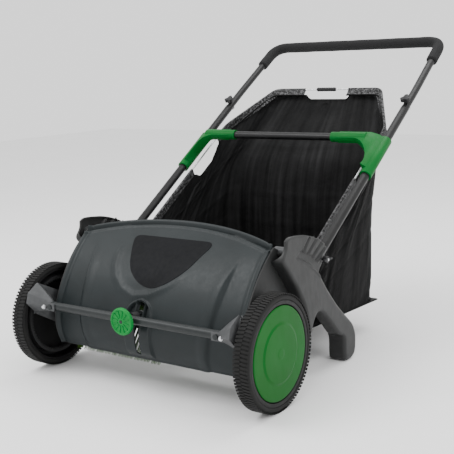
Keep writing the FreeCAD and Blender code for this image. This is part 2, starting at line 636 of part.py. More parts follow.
for name, side in SIDES:
    place = on_axle(side)
    shoulder = S.tyre_shoulder
    turned("tyre_" + name,
           ((S.tyre_inner_x, RIM_RADIUS), (TYRE_OUTER_X, RIM_RADIUS),
            (TYRE_OUTER_X, S.wheel_radius - shoulder), (TYRE_OUTER_X - shoulder, S.wheel_radius),
            (S.tyre_inner_x + shoulder, S.wheel_radius), (S.tyre_inner_x, S.wheel_radius - shoulder)), place)
    turned("wheel_rim_" + name,
           ((S.hub_inner_x, S.axle_radius + S.fit), (S.web_x + S.web_wall, S.axle_radius + S.fit),
            (S.web_x + S.web_wall, RIM_RADIUS - S.rim_lip), (TYRE_OUTER_X - 1, RIM_RADIUS - S.rim_lip),
            (TYRE_OUTER_X - 1, RIM_RADIUS), (S.tyre_inner_x + 1, RIM_RADIUS),
            (S.tyre_inner_x + 1, RIM_RADIUS - S.rim_wall), (S.web_x, RIM_RADIUS - S.rim_wall),
            (S.web_x, S.hub_radius), (S.hub_inner_x, S.hub_radius)), place)
    turned("wheel_disc_" + name,
           ((S.disc_x + S.disc_step, 0.0), (S.disc_x + S.disc_step, S.disc_step_radius - S.disc_step),
            (S.disc_x, S.disc_step_radius), (S.disc_x, S.disc_radius),
            (S.disc_x + S.disc_wall, S.disc_radius), (S.disc_x + S.disc_wall, S.disc_step_radius),
            (S.disc_x + S.disc_wall + S.disc_step, S.disc_step_radius - S.disc_step),
            (S.disc_x + S.disc_wall + S.disc_step, 0.0)), place)


def gear_points(teeth, pitch_radius, inner, outer, narrow_at, width_share, phase):
    """Straight-sided teeth; narrow_at is the radius where a tooth is narrower."""
    points = []
    pitch = 2 * math.pi / teeth
    for tooth in range(int(teeth)):
        middle = tooth * pitch + phase
        for radius, sign in ((inner, -1), (outer, -1), (outer, 1), (inner, 1)):
            lean = (radius - pitch_radius) * math.tan(math.radians(20)) / pitch_radius
            half = width_share * pitch / 2 + (lean if narrow_at == inner else -lean)
            if radius != narrow_at:
                half = min(half, 0.46 * pitch)
            points.append((radius * math.cos(middle + sign * half), radius * math.sin(middle + sign * half)))
    return points


TOOTH_SHARE = 0.40


def make_ring():
    module = float(S.gear_module)
    pitch_radius = module * float(S.ring_teeth) / 2
    tip = pitch_radius - 0.75 * module
    root = pitch_radius + module
    start = float(S.gear_x)
    phase = math.pi / float(S.ring_teeth)
    points = gear_points(float(S.ring_teeth), pitch_radius, tip, root, tip, TOOTH_SHARE, phase)
    body = cylinder((start, 0, 0), X_AXIS, root + float(S.ring_back), float(S.web_x) - start)
    body = body.cut(cylinder((start - 1, 0, 0), X_AXIS, tip, float(S.web_x) - start + 2))
    gaps = []
    pitch = 2 * math.pi / float(S.ring_teeth)
    for tooth in range(int(S.ring_teeth)):
        last = points[4 * tooth + 3]
        outer_last = points[4 * tooth + 2]
        following = points[(4 * tooth + 4) % len(points)]
        outer_next = points[(4 * tooth + 5) % len(points)]
        middle = (tooth + 0.5) * pitch + phase
        inside = (0.97 * tip * math.cos(middle), 0.97 * tip * math.sin(middle))
        gaps.append(prism_x((last, outer_last, outer_next, following, inside), start - 1, start + float(S.gear_width)))
    return body.cut(Part.makeCompound(gaps))


def make_pinion():
    module = float(S.gear_module)
    pitch_radius = module * float(S.pinion_teeth) / 2
    start = float(S.gear_x) + 1
    points = gear_points(float(S.pinion_teeth), pitch_radius, pitch_radius - 1.05 * module,
                         pitch_radius + 0.75 * module, pitch_radius + 0.75 * module, TOOTH_SHARE, 0.0)
    body = prism_x(tuple(points), start, start + float(S.gear_width) - 3)
    body = body.cut(cylinder((start - 1, 0, 0), X_AXIS, S.shaft_radius + S.fit, 30))
    return body.cut(cylinder((start - 1, 0, 0), X_AXIS, S.shaft_radius + 4.5, 6))


ring_shape = make_ring()
pinion_shape = make_pinion()
for name, side in SIDES:
    mirrored = Placement(Vector(0, 0, float(AXLE_Z)), Rotation())
    ring = ring_shape if side > 0 else ring_shape.mirror(Vector(0, 0, 0), X_AXIS)
    pinion = pinion_shape if side > 0 else pinion_shape.mirror(Vector(0, 0, 0), X_AXIS)
    shaped("ring_gear_" + name, ring, mirrored)
    shaped("pinion_" + name, pinion, on_brush())

# ---------------------------------------------------------------- brush

shaft_half = S.gear_x + S.gear_width + 1
pin_x = S.gear_x + 4


def make_shaft():
    half = float(shaft_half)
    shaft = cylinder((-half, 0, 0), X_AXIS, S.shaft_radius, 2 * half)
    for name, side in SIDES:
        shaft = shaft.cut(cylinder((side * float(pin_x), 0, -20), Z_AXIS, 1.5 + float(S.fit), 40))
    return shaft


shaped("brush_shaft", make_shaft(), on_brush())
for name, side in SIDES:
    reach = S.shaft_radius + 4
    rod("drive_pin_" + name, 1.5, reach * 2,
        Placement(Vector(side * float(pin_x), float(BRUSH_Y), float(BRUSH_Z - reach)), Rotation()))
    rod("brush_holder_" + name, S.holder_radius, S.brush_length / 2,
        Placement(Vector(0 if side > 0 else -float(S.brush_length) / 2, float(BRUSH_Y), float(BRUSH_Z)),
                  Rotation(Y_AXIS, 90)), S.shaft_radius + S.fit)


def make_bristles(side, first_angle):
    """Rows of bristle strips standing on a thin sleeve."""
    length = float(S.brush_length) / 2
    start = 0.0 if side > 0 else -length
    bore = float(S.holder_radius) + 0.05
    sleeve = cylinder((start, 0, 0), X_AXIS, bore + 3, length).cut(cylinder((start - 1, 0, 0), X_AXIS, bore, length + 2))
    thick = float(S.bristle_thickness)
    rows = sleeve
    for row in range(int(S.bristle_rows)):
        angle = first_angle + row * 360.0 / float(S.bristle_rows)
        strip = Part.makeBox(length - 4, float(S.brush_radius) - bore - 1, thick,
                             Vector(start + 2, bore + 1, -thick / 2))
        strip.rotate(Vector(0, 0, 0), X_AXIS, angle)
        rows = rows.fuse(strip)
    return rows


shaped("bristles_left", make_bristles(-1, float(S.left_row_angle)), on_brush())
shaped("bristles_right", make_bristles(1, float(S.left_row_angle + S.row_offset)), on_brush())

# ---------------------------------------------------------------- handle (X across, Y up the tubes, Z off their plane)


def handle_piece(label, shape):
    return shaped(label, shape, HANDLE)


def lower_tube(side):
    across = side * float(S.tube_x)
    spigot = float(S.upper_radius - S.tube_wall - S.fit)
    joint = float(S.joint_run)
    tube = cylinder((across, 0, 0), Y_AXIS, S.lower_radius, joint)
    tube = tube.fuse(cylinder((across, joint - 1, 0), Y_AXIS, spigot, float(S.spigot_length) + 1))
    tube = tube.cut(cylinder((across, -1, 0), Y_AXIS, spigot - float(S.tube_wall), joint + float(S.spigot_length) + 2))
    tube = tube.cut(cylinder((across, float(S.knob_run), -30), Z_AXIS, S.bolt_radius + S.fit, 60))
    return tube.cut(cylinder((across - 30, float(S.wing_run), 0), X_AXIS, S.bolt_radius + S.fit, 60))


def handle_points(start_run):
    """Half of the U from its lower end, then across and down the other side."""
    kink = float(S.joint_run + S.spigot_length) + 25
    top = float(S.handle_run)
    low_x = float(S.tube_x)
    top_x = float(S.grip_half_width)
    share = max(0.0, (start_run - kink) / (top - kink))
    start_x = low_x + (top_x - low_x) * share
    right = [Vector(start_x, start_run, 0)]
    if start_run < kink:
        right.append(Vector(low_x, kink, 0))
    right.append(Vector(top_x, top, 0))
    left = [Vector(-point.x, point.y, 0) for point in reversed(right)]
    return right + left


def make_upper_handle():
    points = handle_points(float(S.joint_run))
    wire = round_wire(points, S.corner_radius)
    tube = pipe(wire, S.upper_radius).cut(pipe(wire, S.upper_radius - S.tube_wall))
    for name, side in SIDES:
        tube = tube.cut(cylinder((side * float(S.tube_x), float(S.knob_run), -30), Z_AXIS, S.bolt_radius + S.fit, 60))
    return tube


def make_foam():
    wire = round_wire(handle_points(float(S.foam_start)), S.corner_radius)
    return pipe(wire, S.foam_radius).cut(pipe(wire, S.upper_radius + S.fit))


CROSSBAR_HALF = float(S.tube_x) - 40


def make_clamp(side):
    """Tube sleeve, crossbar socket and the curved plate between them."""
    tube = float(S.tube_x)
    start = float(S.clamp_start)
    end = float(S.clamp_end)
    rise = float(S.crossbar_rise)
    run = float(S.crossbar_run)
    socket = float(S.socket_radius)
    socket_x = float(S.socket_inner_x)
    clamp = cylinder((tube, start, 0), Y_AXIS, S.clamp_radius, end - start)
    clamp = clamp.fuse(cylinder((socket_x, run, rise), X_AXIS, socket, CROSSBAR_HALF + 6 - socket_x))
    outline = prism_z((
        (socket_x + 20, run + socket - 1), (CROSSBAR_HALF + 4, run + socket - 1), (tube - 10, end - 4), (tube, end - 4),
        (tube, start + 16), (tube - 14, start + 16), ((tube - 24, run - 42), (tube - 60, run - socket + 1)),
        (socket_x + 20, run - socket + 1)), -2 * socket, rise + socket)
    bend = prism_y((
        (socket_x, rise - 9), (CROSSBAR_HALF - 12, rise - 9), (tube - 8, -8), (tube + 8, -8), (tube + 8, 8),
        (CROSSBAR_HALF + 14, rise + 5), (CROSSBAR_HALF + 4, rise + 9), (socket_x, rise + 9)), start, end)
    clamp = clamp.fuse(outline.common(bend))
    clamp = clamp.cut(cylinder((tube, start - 1, 0), Y_AXIS, S.lower_radius + S.fit, end - start + 2))
    clamp = clamp.cut(cylinder((socket_x - 1, run, rise), X_AXIS, S.crossbar_radius + S.fit,
                               CROSSBAR_HALF + 0.2 - socket_x + 1))
    return clamp if side > 0 else clamp.mirror(Vector(0, 0, 0), X_AXIS)


BOLT_HEAD_WIDTH = 4.0


def make_handle_bolt(side):
    base = (side * float(S.tube_x), float(S.knob_run), -float(S.upper_radius) - BOLT_HEAD_WIDTH)
    bolt = cylinder(base, Z_AXIS, S.bolt_radius, 2 * float(S.upper_radius) + BOLT_HEAD_WIDTH + 10)
    return bolt.fuse(cylinder(base, Z_AXIS, 6.0, BOLT_HEAD_WIDTH))


def make_handle_knob(side):
    """Three-lobed hand knob."""
    start = float(S.upper_radius) + 0.3
    middle = (side * float(S.tube_x), float(S.knob_run))
    width = float(S.handle_knob_width)
    knob = cylinder((middle[0], middle[1], start), Z_AXIS, 8.0, width)
    for lobe in range(3):
        turn = math.radians(90 + 120 * lobe)
        reach = float(S.handle_knob_radius) - 6.0
        place = (middle[0] + reach * math.cos(turn), middle[1] + reach * math.sin(turn), start + 4.0)
        knob = knob.fuse(cylinder(place, Z_AXIS, 6.0, width - 4.0))
    return knob.cut(cylinder((middle[0], middle[1], start - 1), Z_AXIS, S.bolt_radius + S.fit, width - 2))


for name, side in SIDES:
    handle_piece("lower_tube_" + name, lower_tube(side))
    handle_piece("cross_clamp_" + name, make_clamp(side))
    handle_piece("handle_bolt_" + name, make_handle_bolt(side))
    handle_piece("handle_knob_" + name, make_handle_knob(side))
rod("crossbar", S.crossbar_radius, CROSSBAR_HALF * 2,
    HANDLE.multiply(Placement(Vector(-CROSSBAR_HALF, float(S.crossbar_run), float(S.crossbar_rise)),
                              Rotation(Y_AXIS, 90))), S.crossbar_radius - S.tube_wall)
handle_piece("upper_handle", make_upper_handle())
handle_piece("foam_grip", make_foam())

# ---------------------------------------------------------------- bag


def in_handle(across, run, rise):
    return HANDLE.multVec(Vector(float(across), float(run), float(rise)))


MOUTH_DROP = float(S.wire_drop + S.wire_radius + 0.5)


def mouth_corner(across, run):
    """A corner of the bag's mouth, just under the wire."""
    place = in_handle(0, run, -MOUTH_DROP)
    return float(across), place.y, place.z


# half width, Y, Z of each corner seen from the side
FRONT_FOOT = (250.0, 205.0, 103.0)
REAR_FOOT = (230.0, 655.0, 77.0)
REAR_LOW = (232.0, 654.0, 318.0)
REAR_HIGH = (225.0, 685.0, 451.0)
MOUTH_REAR = mouth_corner(S.wire_rear_x, S.wire_rear_run)
MOUTH_TURN = mouth_corner(S.wire_side_x, S.wire_turn_run)
MOUTH_FRONT = mouth_corner(S.wire_side_x - 2, S.wire_front_run - 20)
BAG_PROFILE = (FRONT_FOOT, REAR_FOOT, REAR_LOW, REAR_HIGH, MOUTH_REAR, MOUTH_TURN, MOUTH_FRONT)


def hull(profile):
    """A closed solid, alike left and right, through the side profile's corners."""
    right = [Vector(x, y, z) for x, y, z in profile]
    left = [Vector(-x, y, z) for x, y, z in profile]
    count = len(profile)
    pivot = 5
    faces = []
    for line in (right, left):
        for step in range(1, count - 1):
            first = (pivot + step) % count
            second = (pivot + step + 1) % count
            faces.append(Part.Face(Part.makePolygon([line[pivot], line[first], line[second], line[pivot]])))
    for index in range(count):
        after = (index + 1) % count
        faces.append(Part.Face(Part.makePolygon(
            [right[index], right[after], left[after], left[index], right[index]])))
    return Part.makeSolid(Part.makeShell(faces))


def make_bag():
    wall = float(S.bag_wall)
    above = 12.0
    out_y = -math.sin(HANDLE_TURN) * above
    out_z = math.cos(HANDLE_TURN) * above
    moves = ((-14.0, wall), (-wall, wall), (-wall, 0.0), (-wall, 0.0), (out_y - wall, out_z), (out_y, out_z),
             (out_y - above, out_z))
    inner = [(x - wall, y + move[0], z + move[1]) for (x, y, z), move in zip(BAG_PROFILE, moves)]
    bag = hull(BAG_PROFILE).cut(hull(inner))
    notch = Part.makeBox(2 * float(S.hand_gap), 75.0, 40.0,
                         Vector(-float(S.hand_gap), float(S.wire_rear_run) - 15, -MOUTH_DROP - float(S.hand_gap_depth)))
    notch.Placement = HANDLE.multiply(notch.Placement)
    return bag.cut(notch)


def make_bag_floor():
    """Stiff panel under the fabric; its rear edge stands out as a lip."""
    half_front = FRONT_FOOT[0] + 3
    half_rear = REAR_FOOT[0] + 6
    slope = (REAR_FOOT[2] - FRONT_FOOT[2]) / (REAR_FOOT[1] - FRONT_FOOT[1])
    front = FRONT_FOOT[1] - 3
    rear = REAR_FOOT[1] + float(S.floor_lip)
    wall = float(S.bag_floor_wall)
    rise = FRONT_FOOT[2] + slope * (front - FRONT_FOOT[1])
    fall = FRONT_FOOT[2] + slope * (rear - FRONT_FOOT[1])
    side_view = prism_x(((front, rise), (rear, fall), (rear, fall - wall), (front, rise - wall)), -300, 300)
    top_view = prism_z(((-half_front, front), (half_front, front), (half_rear, rear), (-half_rear, rear)), 0, 200)
    return side_view.common(top_view)


def make_frame():
    """Wire rim of the bag, from its right front end round the rear to the left."""
    right = [Vector(float(S.wire_side_x) - 1, float(S.wire_front_run), -float(S.wire_drop)),
             Vector(float(S.wire_side_x), float(S.wire_turn_run), -float(S.wire_drop)),
             Vector(float(S.wire_rear_x), float(S.wire_rear_run), -float(S.wire_drop))]
    left = [Vector(-point.x, point.y, point.z) for point in reversed(right)]
    return pipe(round_wire(right + left, S.wire_bend), S.wire_radius)


shaped("bag_fabric", make_bag())
shaped("bag_floor", make_bag_floor())
handle_piece("bag_frame", make_frame())
rod("bag_grip", S.grip_radius, S.grip_length,
    HANDLE.multiply(Placement(Vector(-float(S.grip_length) / 2, float(S.wire_rear_run), -float(S.wire_drop)),
                              Rotation(Y_AXIS, 90))), S.wire_radius + S.fit)

# ---------------------------------------------------------------- check, centre and write

doc.recompute()
for item in doc.Objects:
    if "Invalid" in item.State or "Error" in item.State:
        raise RuntimeError("%s is %s" % (item.Name, item.State))
whole = FreeCAD.BoundBox()
for piece in pieces:
    if piece.Shape.isNull() or not piece.Shape.isValid():
        raise RuntimeError("%s has no sound shape" % piece.Label)
    if len(piece.Shape.Solids) != 1:
        raise RuntimeError("%s has %d solids" % (piece.Label, len(piece.Shape.Solids)))
    whole.add(piece.Shape.BoundBox)
to_middle = Placement(Vector(0, -(whole.YMin + whole.YMax) / 2, 0), Rotation())
for piece in pieces:
    piece.Placement = to_middle.multiply(piece.Placement)
doc.recompute()
os.makedirs("parts", exist_ok=True)
for piece in pieces:
    piece.Shape.exportStep("parts/%s.step" % piece.Label)
print("pieces", len(pieces), "moved", round(to_middle.Base.y, 3))
print("box", [round(value, 2) for value in (whole.XMin, whole.YMin, whole.ZMin, whole.XMax, whole.YMax, whole.ZMax)])
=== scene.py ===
import json
import logging
import math
from dataclasses import dataclass
from enum import Enum
from typing import Callable, Optional, Sequence

import bmesh
import bpy
import numpy as np
from mathutils import Matrix, Vector
from mathutils.geometry import delaunay_2d_cdt

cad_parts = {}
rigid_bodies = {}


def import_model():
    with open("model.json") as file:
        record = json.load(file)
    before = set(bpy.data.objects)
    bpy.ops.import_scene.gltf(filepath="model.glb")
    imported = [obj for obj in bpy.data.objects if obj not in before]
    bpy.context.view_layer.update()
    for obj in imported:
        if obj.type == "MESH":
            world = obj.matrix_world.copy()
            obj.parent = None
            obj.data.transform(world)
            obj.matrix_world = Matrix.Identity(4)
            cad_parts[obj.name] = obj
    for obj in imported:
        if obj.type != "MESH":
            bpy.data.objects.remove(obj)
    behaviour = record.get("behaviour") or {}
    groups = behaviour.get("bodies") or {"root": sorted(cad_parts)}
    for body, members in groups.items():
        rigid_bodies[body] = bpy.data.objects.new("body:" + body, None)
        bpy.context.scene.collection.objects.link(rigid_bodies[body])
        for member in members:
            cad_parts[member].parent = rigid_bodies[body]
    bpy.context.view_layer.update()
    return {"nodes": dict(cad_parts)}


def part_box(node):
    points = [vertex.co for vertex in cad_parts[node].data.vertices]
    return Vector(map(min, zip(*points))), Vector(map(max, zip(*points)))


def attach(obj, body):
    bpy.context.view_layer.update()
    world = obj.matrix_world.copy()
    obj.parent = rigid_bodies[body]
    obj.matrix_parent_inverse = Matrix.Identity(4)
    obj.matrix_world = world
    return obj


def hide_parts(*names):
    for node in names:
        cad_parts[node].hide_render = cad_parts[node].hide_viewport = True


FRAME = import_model()

LOG = logging.getLogger("sweeper")
MM = 0.001
Colour = tuple[float, float, float]
Point = tuple[float, float, float]
Flat = tuple[float, float]

# Lengths are millimetres measured from the middle of the wheel axle's line on the floor.
AXLE_Y = sum(corner.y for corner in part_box("wheel_rim_right")) / 2
AXLE_HEIGHT = 127.0
BRUSH_BACK = 70.0
HANDLE_FOOT: Flat = (195.0, 244.1)
HANDLE_LEAN = math.radians(32.8)
HANDLE_NORMAL = Vector((0, -0.54171, 0.84057))
FORWARD = Vector((0, -1, 0))
UPWARD = Vector((0, 0, 1))
SEED = 7


class Side(Enum):
    """The two sides of the machine."""

    LEFT = -1
    RIGHT = 1

    @property
    def word(self) -> str:
        """The side's name as the nodes spell it."""
        return self.name.lower()


def at(x: float, y: float, z: float) -> Vector:
    """A place in the frame.

    Args:
        x, y, z: millimetres across, back from the axle, and up.

    Returns:
        The place in metres.
    """
    return Vector((x * MM, y * MM + AXLE_Y, z * MM))


def off_handle(x: float, run: float, rise: float) -> Point:
    """A place beside the handle.

    Args:
        x: millimetres across.
        run: millimetres up the tubes from their feet.
        rise: millimetres off the plane of the tubes.

    Returns:
        The place in millimetres.
    """
    y = HANDLE_FOOT[0] + run * math.cos(HANDLE_LEAN) - rise * math.sin(HANDLE_LEAN)
    return x, y, HANDLE_FOOT[1] + run * math.sin(HANDLE_LEAN) + rise * math.cos(HANDLE_LEAN)


def on_handle(x: float, run: float, rise: float) -> Vector:
    """The same place in metres in the frame."""
    return at(*off_handle(x, run, rise))


def smooth_step(value: np.ndarray, low: float, high: float) -> np.ndarray:
    """0 below low, 1 above high, and an easy curve between."""
    share = np.clip((value - low) / (high - low), 0.0, 1.0)
    return share * share * (3 - 2 * share)


def one_step(value: float, low: float, high: float) -> float:
    """The same easy curve for a single number."""
    return float(smooth_step(np.array([value]), low, high)[0])


def bump(value: np.ndarray, low: float, high: float) -> np.ndarray:
    """A round bump from low to high, 1 in its middle."""
    share = np.clip((value - low) / (high - low), 0.0, 1.0)
    return np.sin(share * math.pi) ** 2


# ---------------------------------------------------------------- finishes


class Shader:
    """A material's nodes as they are put together."""

    def __init__(self, name: str) -> None:
        """Starts a material with that name."""
        self.material = bpy.data.materials.new(name)
        self.material.use_nodes = True
        self.nodes = self.material.node_tree.nodes
        self.links = self.material.node_tree.links
        self.surface = self.nodes["Principled BSDF"]
        self.coordinates = self.nodes.new("ShaderNodeTexCoord")
        self.solid = self.coordinates.outputs["Object"]
        self.flat = self.coordinates.outputs["UV"]

    def stretched(self, source: bpy.types.NodeSocket, scale: Point) -> bpy.types.NodeSocket:
        """Coordinates multiplied by scale."""
        mapping = self.nodes.new("ShaderNodeMapping")
        mapping.inputs["Scale"].default_value = scale
        self.links.new(source, mapping.inputs["Vector"])
        return mapping.outputs["Vector"]

    def noise(self, scale: float, detail: float = 2.0,
              source: Optional[bpy.types.NodeSocket] = None) -> bpy.types.NodeSocket:
        """A noise pattern, scale being its cycles per metre."""
        node = self.nodes.new("ShaderNodeTexNoise")
        node.inputs["Scale"].default_value = scale
        node.inputs["Detail"].default_value = detail
        self.links.new(source or self.solid, node.inputs["Vector"])
        return node.outputs["Fac"]

    def cells(self, scale: float, source: Optional[bpy.types.NodeSocket] = None) -> bpy.types.NodeSocket:
        """Distance to the nearest of scattered points, scale of them per metre."""
        node = self.nodes.new("ShaderNodeTexVoronoi")
        node.inputs["Scale"].default_value = scale
        self.links.new(source or self.solid, node.inputs["Vector"])
        return node.outputs["Distance"]

    def threads(self, pitch: float, direction: str, source: bpy.types.NodeSocket) -> bpy.types.NodeSocket:
        """Even ridges, pitch metres apart."""
        node = self.nodes.new("ShaderNodeTexWave")
        node.wave_type = "BANDS"
        node.bands_direction = direction
        node.inputs["Scale"].default_value = 2 * math.pi / (20 * pitch)
        node.inputs["Distortion"].default_value = 0.6
        node.inputs["Detail"].default_value = 1.0
        self.links.new(source, node.inputs["Vector"])
        return node.outputs["Fac"]

    def worked(self, operation: str, first: bpy.types.NodeSocket,
               second: "bpy.types.NodeSocket | float") -> bpy.types.NodeSocket:
        """A sum on two values."""
        node = self.nodes.new("ShaderNodeMath")
        node.operation = operation
        self.links.new(first, node.inputs[0])
        if isinstance(second, float):
            node.inputs[1].default_value = second
        else:
            self.links.new(second, node.inputs[1])
        return node.outputs[0]

    def ranged(self, source: bpy.types.NodeSocket, low: float, high: float,
               start: float = 0.3, end: float = 0.7) -> bpy.types.NodeSocket:
        """A value moved from start..end to low..high."""
        node = self.nodes.new("ShaderNodeMapRange")
        for name, value in (("From Min", start), ("From Max", end), ("To Min", low), ("To Max", high)):
            node.inputs[name].default_value = value
        self.links.new(source, node.inputs["Value"])
        return node.outputs["Result"]

    def colours(self, share: bpy.types.NodeSocket, first: Colour, second: Colour) -> bpy.types.NodeSocket:
        """A mix of two colours by share."""
        node = self.nodes.new("ShaderNodeMix")
        node.data_type = "RGBA"
        self.links.new(share, node.inputs["Factor"])
        node.inputs["A"].default_value = (*first, 1.0)
        node.inputs["B"].default_value = (*second, 1.0)
        return node.outputs["Result"]

    def outside(self, share: float) -> bpy.types.NodeSocket:
        """Painted shade by facing: 1 on faces that look towards the inside of the bag, share on those that look
        away.
        """
        away = self.nodes.new("ShaderNodeVectorMath")
        away.operation = "SUBTRACT"
        self.links.new(self.solid, away.inputs[0])
        away.inputs[1].default_value = at(0.0, 430.0, 230.0)
        facing = self.nodes.new("ShaderNodeVectorMath")
        facing.operation = "DOT_PRODUCT"
        self.links.new(away.outputs["Vector"], facing.inputs[0])
        self.links.new(self.coordinates.outputs["Normal"], facing.inputs[1])
        return self.ranged(facing.outputs["Value"], 1.0, share, -0.02, 0.02)

    def relief(self, height: bpy.types.NodeSocket, depth: float,
               under: Optional[bpy.types.NodeSocket] = None) -> bpy.types.NodeSocket:
        """Surface relief, depth metres from trough to crest."""
        node = self.nodes.new("ShaderNodeBump")
        node.inputs["Distance"].default_value = depth
        self.links.new(height, node.inputs["Height"])
        if under is not None:
            self.links.new(under, node.inputs["Normal"])
        return node.outputs["Normal"]

    def join(self, source: bpy.types.NodeSocket, name: str) -> None:
        """Feeds one of the surface's inputs."""
        self.links.new(source, self.surface.inputs[name])

    def fix(self, **values: float) -> None:
        """Sets inputs that are the same all over."""
        for name, value in values.items():
            self.surface.inputs[name.replace("_", " ").title().replace("Ior", "IOR")].default_value = value


@dataclass(frozen=True)
class Moulded:
    """Moulded plastic: fine grain, soft mottling, faint scuffs in its gloss."""

    name: str
    slot: str
    body: Colour
    worn: Colour
    roughness: float = 0.45
    grain: float = 1400.0
    depth: float = 0.00012
    mottle: float = 14.0
    gloss: float = 0.2

    def material(self) -> bpy.types.Material:
        """Builds the material."""
        shader = Shader(self.name)
        cloud = shader.noise(self.mottle, 4.0)
        scuff = shader.noise(self.mottle * 9, 3.0, shader.stretched(shader.solid, (1.0, 1.0, 0.35)))
        grain = shader.noise(self.grain, 1.0)
        shader.join(shader.colours(shader.ranged(cloud, 0.0, 1.0), self.body, self.worn), "Base Color")
        shader.join(shader.ranged(scuff, self.roughness - 0.05, self.roughness + 0.08), "Roughness")
        swell = shader.relief(cloud, 0.0006)
        shader.join(shader.relief(grain, self.depth, swell), "Normal")
        shader.fix(specular_ior_level=self.gloss)
        return shader.material


@dataclass(frozen=True)
class Metal:
    """Drawn or painted metal: fine lines along it, thin speckle."""

    name: str
    slot: str
    body: Colour
    worn: Colour
    roughness: float = 0.32
    metallic: float = 1.0
    lines: float = 900.0

    def material(self) -> bpy.types.Material:
        """Builds the material."""
        shader = Shader(self.name)
        lines = shader.noise(self.lines, 2.0, shader.stretched(shader.solid, (0.06, 1.0, 1.0)))
        speckle = shader.noise(90.0, 5.0)
        wear = shader.ranged(speckle, 0.0, 1.0, 0.45, 0.75)
        shader.join(shader.colours(wear, self.body, self.worn), "Base Color")
        shader.join(shader.ranged(speckle, self.roughness, self.roughness + 0.12), "Roughness")
        shader.join(shader.relief(lines, 0.00003), "Normal")
        shader.fix(metallic=self.metallic, specular_ior_level=0.28)
        return shader.material


@dataclass(frozen=True)
class Rubber:
    """Tyre rubber or closed-cell foam: matt, with pores and dust in them."""

    name: str
    slot: str
    body: Colour
    dust: Colour
    roughness: float = 0.72
    pores: float = 700.0
    depth: float = 0.0002

    def material(self) -> bpy.types.Material:
        """Builds the material."""
        shader = Shader(self.name)
        pores = shader.cells(self.pores)
        cloud = shader.noise(28.0, 5.0)
        dusty = shader.ranged(cloud, 0.0, 1.0, 0.4, 0.72)
        shader.join(shader.colours(dusty, self.body, self.dust), "Base Color")
        shader.join(shader.ranged(cloud, self.roughness - 0.08, self.roughness + 0.1), "Roughness")
        shader.join(shader.relief(pores, self.depth), "Normal")
        shader.fix(specular_ior_level=0.2)
        return shader.material


@dataclass(frozen=True)
class Woven:
    """Woven tape cloth: flat threads both ways, faded streaks down it, and painted shade that darkens the faces
    looking away from the bag's inside.
    """

    name: str
    slot: str
    body: Colour
    faded: Colour
    pitch: float = 0.0022
    depth: float = 0.0004
    roughness: float = 0.62
    shade: float = 1.0

    def material(self) -> bpy.types.Material:
        """Builds the material."""
        shader = Shader(self.name)
        warp = shader.threads(self.pitch, "X", shader.flat)
        weft = shader.threads(self.pitch, "Y", shader.flat)
        weave = shader.worked("MULTIPLY", warp, weft)
        streaks = shader.noise(60.0, 4.0, shader.stretched(shader.flat, (1.0, 0.05, 1.0)))
        cloud = shader.noise(7.0, 4.0, shader.flat)
        tone = shader.worked("MULTIPLY", shader.ranged(streaks, 0.15, 1.0, 0.35, 0.75),
                             shader.ranged(cloud, 0.35, 1.0))
        tone = shader.worked("ADD", shader.worked("MULTIPLY", weave, 0.25), tone)
        # painted shade: faces that look away from the bag's inside keep only a share of their tone, so the
        # lighter faded colour shows mostly on the inward faces
        tone = shader.worked("MULTIPLY", tone, shader.outside(self.shade))
        shader.join(shader.colours(tone, self.body, self.faded), "Base Color")
        shader.join(shader.ranged(streaks, self.roughness - 0.1, self.roughness + 0.1), "Roughness")
        crumple = shader.relief(shader.noise(24.0, 5.0, shader.flat), 0.004)
        shader.join(shader.relief(weave, self.depth, crumple), "Normal")
        shader.fix(specular_ior_level=0.06)
        return shader.material


@dataclass(frozen=True)
class Netting:
    """Knitted net: bright threads over dark holes."""

    name: str
    slot: str
    thread: Colour
    hole: Colour
    pitch: float = 0.0042

    def material(self) -> bpy.types.Material:
        """Builds the material."""
        shader = Shader(self.name)
        holes = shader.cells(1.0 / self.pitch, shader.flat)
        cloud = shader.noise(140.0, 4.0, shader.flat)
        thread = shader.worked("MULTIPLY", shader.ranged(holes, 0.0, 1.0, 0.36, 0.62),
                               shader.ranged(cloud, 0.25, 1.0, 0.4, 0.62))
        shader.join(shader.colours(thread, self.hole, self.thread), "Base Color")
        shader.join(shader.ranged(cloud, 0.5, 0.75), "Roughness")
        shader.join(shader.relief(holes, 0.0009), "Normal")
        shader.fix(specular_ior_level=0.2)
        return shader.material


@dataclass(frozen=True)
class Filament:
    """Nylon filaments, with painted shade that darkens them towards their roots."""

    name: str
    slot: str
    root: Colour
    tip: Colour
    root_radius: float
    tip_radius: float

    def material(self) -> bpy.types.Material:
        """Builds the material."""
        shader = Shader(self.name)
        middle = at(0.0, BRUSH_BACK, AXLE_HEIGHT)
        mapping = shader.nodes.new("ShaderNodeMapping")
        mapping.inputs["Location"].default_value = (0.0, -middle.y, -middle.z)
        shader.links.new(shader.solid, mapping.inputs["Vector"])
        across = shader.nodes.new("ShaderNodeVectorMath")
        across.operation = "MULTIPLY"
        across.inputs[1].default_value = (0.0, 1.0, 1.0)
        shader.links.new(mapping.outputs["Vector"], across.inputs[0])
        length = shader.nodes.new("ShaderNodeVectorMath")
        length.operation = "LENGTH"
        shader.links.new(across.outputs["Vector"], length.inputs[0])
        # painted shade: the colour runs from the dark root colour near the shaft to the tip colour at the
        # bristle ends
        reach = shader.ranged(length.outputs["Value"], 0.0, 1.0, self.root_radius * MM, self.tip_radius * MM)
        lively = shader.worked("MULTIPLY", reach, shader.ranged(shader.noise(240.0, 2.0), 0.55, 1.0))
        shader.join(shader.colours(lively, self.root, self.tip), "Base Color")
        shader.join(shader.relief(shader.noise(900.0, 1.0), 0.0001), "Normal")
        shader.fix(roughness=0.5, specular_ior_level=0.25)
        return shader.material


Finish = Moulded | Metal | Rubber | Woven | Netting | Filament

